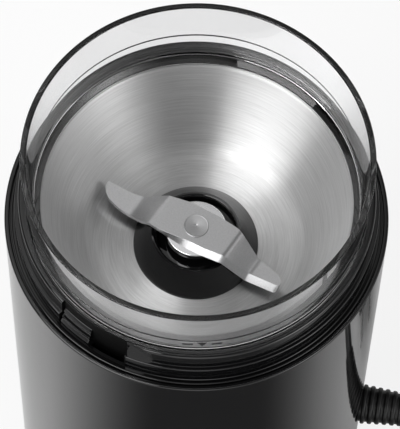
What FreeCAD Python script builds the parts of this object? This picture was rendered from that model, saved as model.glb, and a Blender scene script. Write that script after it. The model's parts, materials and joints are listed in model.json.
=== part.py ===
import FreeCAD, Part
import math
import os
import Sketcher

# Electric spice grinder with a lift-out cup, in millimetres.
# The origin is on the table under the cup's axis, +Z is up and the cord leaves along +X.

driving = {
    # Outer sleeve
    "rim_height": 152.0,
    "rim_radius": 52.0,
    "foot_radius": 50.6,
    "sleeve_wall": 2.4,
    "sleeve_bottom": 4.0,
    "sleeve_taper": 1.4,
    "rebate_depth": 1.2,
    "rebate_width": 1.4,
    # Top ring with the neck that takes the lid
    "ring_gap": 0.25,
    "ring_depth": 8.4,
    "spigot_gap": 0.35,
    "land_height": 0.3,
    "land_width": 0.6,
    "groove_width": 0.5,
    "groove_depth": 0.7,
    "neck_inset": 2.9,
    "neck_ledge": 1.1,
    "neck_wall": 2.1,
    "neck_step": 6.25,
    "neck_height": 11.9,
    "neck_chamfer": 0.4,
    "cup_gap": 0.4,
    # Slot for the lid's tab
    "slot_start": -129.9,
    "slot_end": -104.9,
    "slot_hole_start": -117.4,
    "slot_depth": 1.0,
    "slot_hole_width": 1.3,
    "slot_floor": 0.5,
    # Well that the cup drops into
    "well_wall": 2.2,
    "well_depth": 36.0,
    "well_floor_thickness": 2.4,
    "flange_thickness": 2.6,
    "flange_inset": 0.6,
    "opening_gap": 2.0,
    "opening_lip": 3.1,
    "opening_lip_width": 2.0,
    "ring_screw_inset": 1.75,
    "ring_screw_turn": 20.0,
    "ring_screw_radius": 1.1,
    "ring_screw_head": 1.5,
    "ring_screw_head_height": 1.8,
    "ring_screw_length": 8.6,
    # Columns that the base is screwed to
    "column_inset": 1.6,
    "column_radius": 3.2,
    "column_turn": 24.0,
    "column_bottom": 10.0,
    "base_screw_radius": 1.6,
    "base_screw_head": 3.3,
    "base_screw_reach": 13.0,
    # Base cover
    "base_bottom": 3.0,
    "base_thickness": 2.4,
    "base_rim": 0.4,
    "base_skirt_top": 9.0,
    "vent_inner": 12.0,
    "vent_outer": 27.0,
    "vent_half_angle": 5.0,
    "foot_inset": 12.6,
    "foot_size": 5.5,
    "foot_pocket": 1.2,
    # Cup
    "cup_inset": 2.3,
    "cup_wall": 2.0,
    "cup_bottom_gap": 0.3,
    "cup_floor_rise": 5.3,
    "cup_seat_rise": 6.35,
    "cup_head_step": 0.9,
    "lug_width": 6.0,
    "lug_reach": 2.2,
    "lug_drop": 2.1,
    "bowl_inset": 3.95,
    "bowl_rise": 10.0,
    "bowl_floor_radius": 26.5,
    "bowl_corner_radius": 30.6,
    "bowl_corner_rise": 2.4,
    "bowl_wall_bulge": 75.0,
    "bowl_corner_bulge": 7.0,
    "bowl_thickness": 0.8,
    "bowl_flange_inset": 0.4,
    "bowl_hole_radius": 6.0,
    "gasket_thickness": 0.6,
    "collar_rise": 21.1,
    "collar_flare": 1.35,
    "collar_wall": 1.65,
    "collar_lip": 3.4,
    # Dome seal on the bowl's floor
    "dome_radius": 17.2,
    "dome_skirt": 0.9,
    "dome_foot_radius": 15.8,
    "dome_bulge": 12.0,
    "dome_ridge_radius": 12.0,
    "dome_ridge": 7.1,
    "dome_recess_radius": 10.8,
    "dome_recess": 4.4,
    "dome_bore": 4.4,
    # Blade and its spindle
    "blade_rise": 10.6,
    "blade_thickness": 1.5,
    "blade_drop": 5.6,
    "blade_flat_half": 11.4,
    "blade_bend_half": 18.2,
    "blade_short_reach": 27.2,
    "blade_long_reach": 29.2,
    "blade_turn": -25.4,
    "spindle_radius": 3.0,
    "spindle_tip_radius": 2.6,
    "spindle_inset": 1.0,
    "rivet_radius": 3.4,
    "rivet_height": 0.4,
    "hub_radius": 8.4,
    "hub_flange": 2.3,
    "bush_radius": 5.5,
    "running_gap": 0.05,
    # Coupling between the motor and the cup
    "hexagon_size": 10.4,
    "hexagon_gap": 0.4,
    "hexagon_end_gap": 1.0,
    "coupling_rise": 4.0,
    "coupling_radius": 11.0,
    "coupling_length": 16.5,
    "socket_depth": 9.5,
    # Motor
    "shaft_radius": 4.0,
    "shaft_overhang": 2.0,
    "shaft_end_gap": 0.5,
    "shaft_end_radius": 3.5,
    "shaft_grip": 5.0,
    "stator_rise": 9.0,
    "motor_drop": 30.0,
    "stator_length": 62.0,
    "stator_width": 50.0,
    "stator_corner": 8.0,
    "rotor_radius": 15.0,
    "air_gap": 0.6,
    "window_place": 18.0,
    "window_offset": 14.0,
    "window_width": 5.4,
    "window_length": 8.6,
    "coil_end": 6.0,
    "bearing_radius": 7.5,
    "bearing_length": 7.0,
    "hub_boss_radius": 11.0,
    "bracket_height": 9.0,
    "bracket_plate": 3.0,
    "bracket_arm_width": 9.0,
    "bolt_circle": 31.0,
    "bolt_turn": 30.0,
    "bolt_radius": 1.9,
    "bolt_head_radius": 3.4,
    "bolt_head_height": 2.8,
    "nut_size": 7.0,
    "nut_height": 3.2,
    "post_radius": 4.2,
    "mount_circle": 38.0,
    "mount_turn": 46.0,
    "grommet_radius": 6.0,
    "grommet_waist": 4.5,
    "grommet_bore": 3.0,
    "grommet_lip": 1.8,
    "mount_post_radius": 4.5,
    "mount_screw_radius": 1.5,
    "mount_screw_head": 4.6,
    "mount_screw_head_height": 2.2,
    "mount_screw_length": 12.0,
    "lower_arm_rise": 3.0,
    "brush_plate_rise": 3.0,
    "brush_plate_thickness": 2.5,
    "brush_plate_radius": 28.0,
    "commutator_radius": 8.5,
    "commutator_rise": 6.0,
    "brush_rise": 5.5,
    "brush_width": 6.0,
    "brush_depth": 7.0,
    "brush_length": 10.0,
    "holder_wall": 1.0,
    "holder_end": 27.0,
    "fan_rise": 7.6,
    "fan_height": 9.0,
    "fan_radius": 26.0,
    "fan_gap": 2.0,
    "capacitor_inset": 6.2,
    "capacitor_thickness": 6.0,
    "capacitor_width": 17.6,
    "capacitor_height": 11.0,
    # Interlock
    "plunger_turn": -111.1,
    "plunger_inset": 0.7,
    "plunger_thickness": 2.2,
    "plunger_width": 9.0,
    "plunger_top_gap": 1.0,
    "plunger_foot_gap": 0.4,
    "plunger_foot_thickness": 2.4,
    "plunger_foot_reach": 2.6,
    "plunger_travel": 3.5,
    "spring_offset": 0.1,
    "spring_radius": 1.5,
    "spring_wire": 0.5,
    "case_gap": 4.0,
    "case_thickness": 10.3,
    "case_length": 27.8,
    "case_end": 23.4,
    "case_rise": 3.0,
    "case_height": 16.0,
    "lever_hinge": 22.0,
    "lever_hinge_rise": 1.6,
    "lever_end": -2.0,
    "lever_spare": 0.9,
    "lever_width": 5.0,
    "lever_thickness": 0.5,
    "button_place": 14.0,
    "switch_screw_radius": 1.45,
    "switch_screw_head": 2.6,
    "switch_screw_edge": 3.0,
    "terminal_length": 8.0,
    # Cord
    "cord_radius": 3.0,
    "cord_height": 39.7,
    "boot_radius": 5.85,
    "boot_tip_radius": 3.7,
    "boot_gap": 0.6,
    "boot_length": 26.8,
    "boot_neck_radius": 5.2,
    "boot_bore_depth": 20.0,
    "boot_tail_radius": 4.2,
    "boot_flange_radius": 7.5,
    "boot_flange_thickness": 2.4,
    "clamp_inset": 10.6,
    "clamp_width": 18.4,
    "clamp_length": 7.0,
    "clamp_height": 6.0,
    "clamp_screw_place": 6.6,
    "clamp_screw_radius": 1.2,
    "clamp_screw_head": 2.3,
    "clamp_screw_reach": 8.0,
    "clamp_screw_head_height": 1.6,
    "lead_straight": 38.8,
    "lead_run_in": 30.0,
    "coil_centre_x": 185.0,
    "coil_centre_y": 5.0,
    "coil_start": -120.0,
    "coil_outer_radius": 41.0,
    "coil_pitch": 6.6,
    "coil_layer": 6.5,
    "coil_turns": 3.5833333333,
    "coil_height": 4.0,
    "plug_height": 7.4,
    "plug_length": 26.0,
    "plug_width": 22.0,
    "plug_thickness": 14.0,
    "plug_neck_length": 13.0,
    "plug_blade_gap": 12.7,
    "plug_blade_length": 17.0,
    "plug_blade_width": 6.3,
    "plug_blade_thickness": 1.5,
    "tie_width": 8.0,
    "tie_thickness": 0.7,
}

vent_count = 12
rib_count = 12
fan_blades = 9
rotor_slots = 12
commutator_bars = 12
screw_count = 4
lug_count = 3

doc = FreeCAD.newDocument("SpiceGrinder")
sheet = doc.addObject("Spreadsheet::Sheet", "sizes")
for row, (name, number) in enumerate(driving.items(), start=1):
    sheet.set(f"A{row}", name)
    sheet.set(f"B{row}", str(number))
    sheet.setAlias(f"B{row}", name)
doc.recompute()

pieces = []


class Size:
    """A length, with its number now and the expression that keeps it tied to the sheet."""

    def __init__(self, number, text):
        self.number = number
        self.text = text

    def __add__(self, other):
        other = as_size(other)
        return Size(self.number + other.number, f"({self.text} + {other.text})")

    def __sub__(self, other):
        other = as_size(other)
        return Size(self.number - other.number, f"({self.text} - {other.text})")

    def __mul__(self, other):
        other = as_size(other)
        return Size(self.number * other.number, f"({self.text} * {other.text})")

    def __truediv__(self, other):
        other = as_size(other)
        return Size(self.number / other.number, f"({self.text} / {other.text})")

    def __radd__(self, other):
        return as_size(other) + self

    def __rsub__(self, other):
        return as_size(other) - self

    def __rmul__(self, other):
        return as_size(other) * self

    def __neg__(self):
        return Size(-self.number, f"(0 - {self.text})")


def as_size(value):
    """A plain number counts as a size too."""
    if isinstance(value, Size):
        return value
    return Size(float(value), f"({float(value)})")


def cosine(angle):
    """The cosine of an angle in degrees."""
    angle = as_size(angle)
    return Size(math.cos(math.radians(angle.number)), f"cos({angle.text} * 1 deg)")


def sine(angle):
    """The sine of an angle in degrees."""
    angle = as_size(angle)
    return Size(math.sin(math.radians(angle.number)), f"sin({angle.text} * 1 deg)")


def smaller(first, second):
    """The smaller of two sizes."""
    first, second = as_size(first), as_size(second)
    return Size(min(first.number, second.number), f"min({first.text}; {second.text})")


class Sheet:
    """The driving dimensions by name, and the ones that follow from them."""


s = Sheet()
for name, number in driving.items():
    setattr(s, name, Size(number, f"sizes.{name}"))


def bind(thing, field, value):
    """Ties one property of an object to the sheet."""
    thing.setExpression(field, as_size(value).text)


def new_body(name, turn=None):
    """A sub-part, turned about the vertical axis where an angle is given."""
    body = doc.addObject("PartDesign::Body", name)
    body.Label = name
    body.Placement = FreeCAD.Placement(FreeCAD.Vector(0, 0, 0), FreeCAD.Rotation(FreeCAD.Vector(0, 0, 1), 0))
    if turn is not None:
        bind(body, "Placement.Rotation.Angle", turn)
    pieces.append(body)
    return body


def datum(body, role):
    """One of a body's own origin planes or axes."""
    return [feature for feature in body.Origin.OriginFeatures if feature.Role == role][0]


def sketch_on(body, plane, right=0, up=0, out=0):
    """A sketch on an origin plane, shifted along its own right, up and out directions."""
    sketch = body.newObject("Sketcher::SketchObject", f"{body.Name}_outline")
    sketch.AttachmentSupport = [(datum(body, plane), "")]
    sketch.MapMode = "FlatFace"
    bind(sketch, "AttachmentOffset.Base.x", right)
    bind(sketch, "AttachmentOffset.Base.y", up)
    bind(sketch, "AttachmentOffset.Base.z", out)
    return sketch


def fix_point(sketch, geometry, position, across, along):
    """Holds one end of a line or one centre at its place in the sketch."""
    for kind, value, axis in (("DistanceX", across, -2), ("DistanceY", along, -1)):
        if value.text == as_size(0).text:
            sketch.addConstraint(Sketcher.Constraint("PointOnObject", geometry, position, axis))
        else:
            held = Sketcher.Constraint(kind, -1, 1, geometry, position, value.number)
            index = sketch.addConstraint(held)
            sketch.setExpression(f"Constraints[{index}]", value.text)


def fix_radius(sketch, geometry, radius):
    """Holds a circle's or an arc's radius."""
    index = sketch.addConstraint(Sketcher.Constraint("Radius", geometry, radius.number))
    sketch.setExpression(f"Constraints[{index}]", radius.text)


def arc_between(start, end, radius):
    """An arc that turns left from start to end, or right where the radius is negative."""
    chord = end - start
    left = FreeCAD.Vector(-chord.y, chord.x, 0).normalize()
    side = math.copysign(1.0, radius)
    offset = math.sqrt(max(radius * radius - chord.Length ** 2 / 4, 0.0))
    centre = (start + end) * 0.5 + left * side * offset
    first, last = (start, end) if side > 0 else (end, start)
    begin = math.atan2(first.y - centre.y, first.x - centre.x)
    finish = math.atan2(last.y - centre.y, last.x - centre.x)
    circle = Part.Circle(centre, FreeCAD.Vector(0, 0, 1), abs(radius))
    return Part.ArcOfCircle(circle, begin, finish)


def outline(sketch, corners):
    """A closed outline through (x, y) corners. A third value is the radius of an arc to the next one."""
    corners = [tuple(as_size(value) for value in corner) for corner in corners]
    points = [FreeCAD.Vector(corner[0].number, corner[1].number, 0) for corner in corners]
    first = sketch.GeometryCount
    ends = []
    for index, corner in enumerate(corners):
        start = points[index]
        end = points[(index + 1) % len(points)]
        if len(corner) == 2:
            sketch.addGeometry(Part.LineSegment(start, end))
            ends.append((1, 2))
        else:
            sketch.addGeometry(arc_between(start, end, corner[2].number))
            ends.append((1, 2) if corner[2].number > 0 else (2, 1))
    for index, corner in enumerate(corners):
        following = (index + 1) % len(corners)
        joined = (first + index, ends[index][1], first + following, ends[following][0])
        sketch.addConstraint(Sketcher.Constraint("Coincident", *joined))
        fix_point(sketch, first + index, ends[index][0], corner[0], corner[1])
        if len(corner) == 3:
            fix_radius(sketch, first + index, corner[2] if corner[2].number > 0 else -corner[2])


def circle(sketch, radius, across=0, along=0):
    """A circle."""
    radius, across, along = as_size(radius), as_size(across), as_size(along)
    centre = FreeCAD.Vector(across.number, along.number, 0)
    index = sketch.addGeometry(Part.Circle(centre, FreeCAD.Vector(0, 0, 1), radius.number))
    fix_point(sketch, index, 3, across, along)
    fix_radius(sketch, index, radius)


def rectangle(sketch, left, low, right, high):
    """A rectangle between two corners."""
    outline(sketch, [(left, low), (right, low), (right, high), (left, high)])


def rounded_rectangle(sketch, half_length, half_width, radius):
    """A rectangle about the sketch's centre with round corners."""
    a, b, r = as_size(half_length), as_size(half_width), as_size(radius)
    outline(sketch, [
        (-a + r, -b), (a - r, -b, r), (a, -b + r), (a, b - r, r),
        (a - r, b), (-a + r, b, r), (-a, b - r), (-a, -b + r, r),
    ])


def sector(sketch, inner, outer, start, end):
    """A piece of a ring between two radii and two angles."""
    inner, outer = as_size(inner), as_size(outer)
    outline(sketch, [
        (outer * cosine(start), outer * sine(start), outer),
        (outer * cosine(end), outer * sine(end)),
        (inner * cosine(end), inner * sine(end), -inner),
        (inner * cosine(start), inner * sine(start)),
    ])


def strip(sketch, angle, inner, outer, half_width):
    """A straight strip that points away from the sketch's centre."""
    ahead, aside = cosine(angle), sine(angle)
    corners = []
    for reach, side in ((inner, -1), (outer, -1), (outer, 1), (inner, 1)):
        half = half_width * side
        corners.append((reach * ahead - half * aside, reach * aside + half * ahead))
    outline(sketch, corners)


def hexagon(sketch, across_flats):
    """A regular hexagon about the sketch's centre."""
    corner = as_size(across_flats) / math.sqrt(3)
    outline(sketch, [(corner * cosine(60 * turn), corner * sine(60 * turn)) for turn in range(6)])


def feature(body, kind, sketch, name):
    """A feature of a body that uses one sketch."""
    made = body.newObject(f"PartDesign::{kind}", f"{body.Name}_{name}")
    made.Profile = sketch
    sketch.Visibility = False
    return made


def turned(body, corners, right=0):
    """Turns an outline about the vertical line of its sketch."""
    sketch = sketch_on(body, "XZ_Plane", right=right)
    outline(sketch, corners)
    made = feature(body, "Revolution", sketch, "turned")
    made.ReferenceAxis = (sketch, ["V_Axis"])
    made.Angle = 360
    return made


def padded(body, sketch, length):
    """Adds material along the sketch's out direction."""
    made = feature(body, "Pad", sketch, "pad")
    bind(made, "Length", length)
    return made


def pocketed(body, sketch, length):
    """Takes material away along the sketch's out direction."""
    made = feature(body, "Pocket", sketch, "pocket")
    made.Reversed = True
    bind(made, "Length", length)
    return made


def post(body, radius, low, high, across=0, along=0):
    """A round post between two heights."""
    sketch = sketch_on(body, "XY_Plane", out=low)
    circle(sketch, radius, across, along)
    return padded(body, sketch, as_size(high) - low)


def bore(body, radius, low, high, across=0, along=0):
    """A round hole between two heights."""
    sketch = sketch_on(body, "XY_Plane", out=low)
    circle(sketch, radius, across, along)
    return pocketed(body, sketch, as_size(high) - low)


def block(body, left, front, low, right, back, high):
    """A block between two corners."""
    sketch = sketch_on(body, "XY_Plane", out=low)
    rectangle(sketch, left, front, right, back)
    return padded(body, sketch, as_size(high) - low)


def slot(body, left, front, low, right, back, high):
    """Takes a block away between two corners."""
    sketch = sketch_on(body, "XY_Plane", out=low)
    rectangle(sketch, left, front, right, back)
    return pocketed(body, sketch, as_size(high) - low)


def around(body, originals, count):
    """Repeats features evenly about the vertical axis."""
    doc.recompute()
    pattern = body.newObject("PartDesign::PolarPattern", f"{body.Name}_around")
    pattern.Originals = originals
    pattern.Axis = (datum(body, "Z_Axis"), [""])
    pattern.Angle = 360
    pattern.Occurrences = count
    body.Tip = pattern
    return pattern


def solid_piece(name, shape, placement=None):
    """A sub-part whose shape is worked out here."""
    piece = doc.addObject("Part::Feature", name)
    piece.Label = name
    piece.Shape = shape
    piece.Placement = placement or FreeCAD.Placement()
    pieces.append(piece)
    return piece


def turn_about_z(degrees):
    """A rotation about the vertical axis."""
    return FreeCAD.Rotation(FreeCAD.Vector(0, 0, 1), degrees)


def arc_top(start, tangent, end):
    """The middle point of the arc that leaves start along tangent and ends at end."""
    chord = end - start
    along = FreeCAD.Vector(chord).normalize()
    side = tangent - along * tangent.dot(along)
    lean = math.atan2(side.Length, tangent.dot(along))
    if side.Length > 1e-7:
        side.normalize()
    return start + chord * 0.5 + side * (chord.Length / 2 * math.tan(lean / 2))


def arc_edge(start, middle, end):
    """An arc through three points, or a line where they are in line."""
    if (start + end - middle * 2).Length < 1e-6:
        return Part.LineSegment(start, end).toShape()
    return Part.Arc(start, middle, end).toShape()


def biarc(start, start_tangent, end, end_tangent):
    """Two arcs that join two points and keep both tangents."""
    gap = end - start
    total = start_tangent + end_tangent
    spread = 2 * (1 - start_tangent.dot(end_tangent))
    along = gap.dot(total)
    if spread < 1e-9:
        reach = gap.dot(gap) / (4 * gap.dot(end_tangent))
    else:
        reach = (math.sqrt(along * along + spread * gap.dot(gap)) - along) / spread
    middle = (start + end + (start_tangent - end_tangent) * reach) * 0.5
    first = arc_edge(start, arc_top(start, start_tangent, middle), middle)
    last = arc_edge(middle, arc_top(end, end_tangent * -1, middle), end)
    return [first, last]


def tube(edges, start, tangent, radius):
    """A round tube of one section along a smooth path."""
    path = Part.Wire(edges)
    section = Part.Wire(Part.makeCircle(radius, start, tangent))
    return path.makePipeShell([section], True, False)


def bent_edges(points, share):
    """Straight runs joined by tangent arcs as large as the runs allow."""
    edges = []
    start = points[0]
    for index in range(1, len(points) - 1):
        before = points[index - 1] - points[index]
        after = points[index + 1] - points[index]
        reach = share * min(before.Length, after.Length)
        enter = points[index] + before.normalize() * reach
        leave = points[index] + after.normalize() * reach
        edges.append(Part.LineSegment(start, enter).toShape())
        edges.append(arc_edge(enter, arc_top(enter, points[index] - enter, leave), leave))
        start = leave
    edges.append(Part.LineSegment(start, points[-1]).toShape())
    return edges


def bent_tube(points, radius, share=0.45):
    """A tube along straight runs and tangent arcs."""
    edges = bent_edges(points, share)
    return tube(edges, points[0], points[1] - points[0], radius)


def report_bends(name, points, shape, radius):
    """Prints a route's radii and compares its volume with its section times its length."""
    for index in range(1, len(points) - 1):
        before = points[index] - points[index - 1]
        after = points[index + 1] - points[index]
        half_turn = before.getAngle(after) / 2
        bend = 0.45 * min(before.Length, after.Length) / math.tan(half_turn)
        print(f"{name}: point {index} turns {math.degrees(half_turn * 2):.1f} degrees, radius {bend:.1f}")
    length = sum(edge.Length for edge in bent_edges(points, 0.45))
    expected = math.pi * radius ** 2 * length
    print(f"{name}: length {length:.1f}, volume {shape.Volume:.1f} against {expected:.1f}")


# Radii that follow from the sleeve, which the inside is laid out to at its narrower end
core_radius = smaller(s.rim_radius, s.foot_radius + s.sleeve_taper)
sleeve_inner_top = s.rim_radius - s.sleeve_wall
sleeve_inner_foot = s.foot_radius - s.sleeve_wall
core_inner = core_radius - s.sleeve_wall
spigot_radius = sleeve_inner_top - s.spigot_gap
s.neck_radius = core_radius - s.neck_inset
s.neck_upper_radius = s.neck_radius - s.neck_ledge
cup_bore = s.neck_upper_radius - s.neck_wall
s.slot_back_radius = s.neck_upper_radius - s.slot_depth
s.slot_hole_radius = s.slot_back_radius + s.slot_hole_width
s.flange_radius = core_inner - s.flange_inset
s.screw_circle = core_inner - s.spigot_gap - s.ring_screw_inset
s.column_circle = core_inner - s.sleeve_taper - s.column_radius - s.column_inset
s.foot_circle = s.foot_radius - s.foot_inset
s.collar_waist_radius = cup_bore - s.cup_gap
s.collar_top_radius = s.collar_waist_radius + s.collar_flare
s.collar_lip_radius = s.collar_waist_radius - s.collar_lip
s.cup_radius = s.collar_waist_radius - s.cup_inset
s.cup_head_radius = s.cup_radius + s.cup_head_step
s.bowl_rim_radius = s.collar_waist_radius - s.bowl_inset
s.bowl_flange_radius = s.cup_head_radius - s.bowl_flange_inset
s.opening_radius = s.coupling_radius + s.opening_gap
s.plunger_radius = s.slot_back_radius - s.plunger_inset
s.spring_place = s.plunger_radius + s.spring_offset
s.case_inner = s.plunger_radius - s.case_gap - s.case_thickness
clamp_place = s.foot_radius - s.clamp_inset
boot_inner_end = clamp_place - 6
s.boot_start = s.foot_radius + s.boot_gap
s.boot_tip = s.boot_start + s.boot_length
s.boot_bore_start = s.boot_tip - s.boot_bore_depth

# Heights that follow from the rim, down to the motor's stack
neck_top = s.rim_height + s.neck_height
neck_shelf = s.rim_height + s.neck_step
s.ring_bottom = s.rim_height - s.ring_depth
s.well_floor = s.rim_height - s.well_depth
s.cup_seat = s.rim_height + s.cup_seat_rise
s.collar_top = neck_top + s.collar_rise
flange_bottom = s.ring_bottom - s.flange_thickness
ring_screw_top = flange_bottom + s.ring_screw_length
well_bore = s.cup_radius + s.cup_gap
well_outer = well_bore + s.well_wall
well_top_of_floor = s.well_floor + s.well_floor_thickness
cup_bottom = well_top_of_floor + s.cup_bottom_gap
s.cup_floor = cup_bottom + s.cup_floor_rise
s.bowl_floor_height = s.cup_floor + s.bowl_rise
s.bowl_corner_height = s.bowl_floor_height + s.bowl_corner_rise
s.blade_top = s.bowl_floor_height + s.blade_rise
bowl_rim_height = s.cup_seat + s.bowl_thickness
gasket_top = bowl_rim_height + s.gasket_thickness
s.coupling_top = s.well_floor + s.coupling_rise
s.coupling_bottom = s.coupling_top - s.coupling_length
s.socket_floor = s.coupling_top - s.socket_depth
s.hexagon_bottom = s.socket_floor + s.hexagon_end_gap
s.spindle_bottom = s.hexagon_bottom + s.spindle_inset
s.shaft_shoulder = s.coupling_bottom - s.shaft_end_gap
s.shaft_top = s.coupling_bottom + s.shaft_grip
stator_top = s.well_floor - s.motor_drop
arm_bottom = stator_top + s.bracket_height
arm_top = arm_bottom + s.bracket_plate
boss_top = arm_top + s.bracket_plate
boss_bottom = arm_bottom - s.bracket_plate
mount_post_bottom = arm_top + s.grommet_lip
s.case_bottom = stator_top + s.case_rise
s.lever_rise = s.plunger_travel + s.lever_spare
lever_hinge_height = s.case_bottom + s.case_height + s.lever_hinge_rise
s.plunger_foot = lever_hinge_height + s.lever_rise + s.lever_thickness / 2 + s.plunger_foot_gap

# Heights that follow from the base, up to the motor's stack
base_top = s.base_bottom + s.base_thickness
s.fan_bottom = base_top + s.fan_rise
s.shaft_bottom = s.fan_bottom - s.shaft_overhang
s.lower_bracket_bottom = s.fan_bottom + s.fan_height + s.fan_gap
lower_arm_bottom = s.lower_bracket_bottom + s.lower_arm_rise
lower_arm_top = lower_arm_bottom + s.bracket_plate
s.brush_plate_bottom = lower_arm_top + s.brush_plate_rise
brush_plate_top = s.brush_plate_bottom + s.brush_plate_thickness
s.brush_height = brush_plate_top + s.brush_rise
s.commutator_top = s.brush_height + s.commutator_rise
s.stator_bottom = s.commutator_top + s.stator_rise
s.stator_stack = stator_top - s.stator_bottom
coil_front = s.stator_bottom - s.coil_end
thread_gap = 0.05


# Outer sleeve: a gloss shell with a slight taper, a rebate for the ring and a hole for the boot
def make_outer_sleeve():
    body = new_body("outer_sleeve")
    rebate_bottom = s.rim_height - s.rebate_depth
    turned(body, [
        (sleeve_inner_foot, s.sleeve_bottom),
        (s.foot_radius - 0.5, s.sleeve_bottom),
        (s.foot_radius, s.sleeve_bottom + 0.5),
        (s.rim_radius, s.rim_height - 0.5),
        (s.rim_radius - 0.5, s.rim_height),
        (s.rim_radius - s.rebate_width + 0.4, s.rim_height),
        (s.rim_radius - s.rebate_width, s.rim_height - 0.4),
        (s.rim_radius - s.rebate_width, rebate_bottom),
        (sleeve_inner_top, rebate_bottom),
    ])
    hole = sketch_on(body, "YZ_Plane", out=s.foot_radius - 8)
    circle(hole, s.boot_neck_radius + 0.1, 0, s.cord_height)
    pocketed(body, hole, 12)


# Top ring: the land at the rim, the neck for the lid, and the slot for its tab
def make_top_ring():
    body = new_body("top_ring")
    flange_radius = s.rim_radius - s.rebate_width - s.ring_gap
    flange_low = s.rim_height - s.rebate_depth
    land_top = s.rim_height + s.land_height
    groove_outer = flange_radius - s.land_width
    groove_inner = groove_outer - s.groove_width
    turned(body, [
        (cup_bore, s.ring_bottom),
        (spigot_radius, s.ring_bottom),
        (spigot_radius, flange_low),
        (flange_radius, flange_low),
        (flange_radius, land_top - 0.2),
        (flange_radius - 0.2, land_top),
        (groove_outer, land_top),
        (groove_outer, land_top - s.groove_depth),
        (groove_inner, land_top - s.groove_depth),
        (groove_inner, land_top),
        (s.neck_radius, s.rim_height + s.slot_floor),
        (s.neck_radius, neck_shelf),
        (s.neck_upper_radius, neck_shelf),
        (s.neck_upper_radius, neck_top - s.neck_chamfer),
        (s.neck_upper_radius - s.neck_chamfer, neck_top),
        (cup_bore + s.neck_chamfer, neck_top),
        (cup_bore, neck_top - s.neck_chamfer),
    ])
    tab_slot = sketch_on(body, "XY_Plane", out=s.rim_height + s.slot_floor)
    sector(tab_slot, s.slot_back_radius, s.neck_radius + 1, s.slot_start, s.slot_end)
    pocketed(body, tab_slot, s.neck_height + 1)
    tab_hole = sketch_on(body, "XY_Plane", out=s.ring_bottom - 1)
    sector(tab_hole, s.slot_back_radius, s.slot_hole_radius, s.slot_hole_start, s.slot_end)
    pocketed(body, tab_hole, s.rim_height - s.ring_bottom + 4)
    angle = s.ring_screw_turn
    hole = bore(body, s.ring_screw_radius + thread_gap, s.ring_bottom - 1, ring_screw_top + 0.5,
                s.screw_circle * cosine(angle), s.screw_circle * sine(angle))
    around(body, [hole], screw_count)


# Cup well: the inner frame that carries the cup, the motor and the base columns
def make_cup_well():
    body = new_body("cup_well")
    lip_outer = s.opening_radius + s.opening_lip_width
    lip_top = well_top_of_floor + s.opening_lip
    turned(body, [
        (s.opening_radius, s.well_floor),
        (well_outer, s.well_floor),
        (well_outer, flange_bottom),
        (s.flange_radius, flange_bottom),
        (s.flange_radius, s.ring_bottom),
        (well_bore, s.ring_bottom),
        (well_bore, well_top_of_floor),
        (lip_outer, well_top_of_floor),
        (lip_outer, lip_top),
        (s.opening_radius, lip_top),
    ])
    column = post(body, s.column_radius, s.column_bottom, s.well_floor + 0.5,
                  s.column_circle * cosine(s.column_turn), s.column_circle * sine(s.column_turn))
    mount = post(body, s.mount_post_radius, mount_post_bottom, s.well_floor + 0.5,
                 s.mount_circle * cosine(s.mount_turn), s.mount_circle * sine(s.mount_turn))
    around(body, [column, mount], screw_count)
    column_hole = bore(body, s.base_screw_radius + thread_gap, s.column_bottom - 1,
                       s.column_bottom + s.base_screw_reach + 1,
                       s.column_circle * cosine(s.column_turn), s.column_circle * sine(s.column_turn))
    mount_hole = bore(body, s.mount_screw_radius + thread_gap, mount_post_bottom - 1,
                      mount_post_bottom + s.mount_screw_length + 1,
                      s.mount_circle * cosine(s.mount_turn), s.mount_circle * sine(s.mount_turn))
    flange_hole = bore(body, s.ring_screw_radius + 2 * thread_gap, flange_bottom - 1, s.ring_bottom + 1,
                       s.screw_circle * cosine(s.ring_screw_turn), s.screw_circle * sine(s.ring_screw_turn))
    around(body, [column_hole, mount_hole, flange_hole], screw_count)
    notch = sketch_on(body, "XY_Plane", out=s.ring_bottom - s.lug_drop - s.cup_gap + 0.1)
    reach = s.cup_radius + s.lug_reach + s.cup_gap
    half = s.lug_width / 2 + s.cup_gap
    rectangle(notch, s.cup_radius - 3, -half, reach, half)
    lug_notch = pocketed(body, notch, s.lug_drop + 2)
    around(body, [lug_notch], lug_count)
    passage = sketch_on(body, "XY_Plane", out=flange_bottom - 1)
    reach = (s.plunger_width / 2 + 0.6) / s.plunger_radius * (180 / math.pi)
    sector(passage, well_outer + 0.1, s.flange_radius + 2, s.plunger_turn - reach, s.plunger_turn + reach)
    pocketed(body, passage, s.flange_thickness + 2)


# Screws that are turned about their own axis and repeated
def make_screws(name, turn, circle_radius, shank, low, high, head, head_low, head_high, count=screw_count):
    body = new_body(name, turn)
    screw = turned(body, [
        (0, head_low),
        (head, head_low),
        (head, head_high),
        (shank, head_high),
        (shank, high - shank),
        (as_size(shank) * 0.3, high),
        (0, high),
    ], right=circle_radius)
    around(body, [screw], count)


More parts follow.
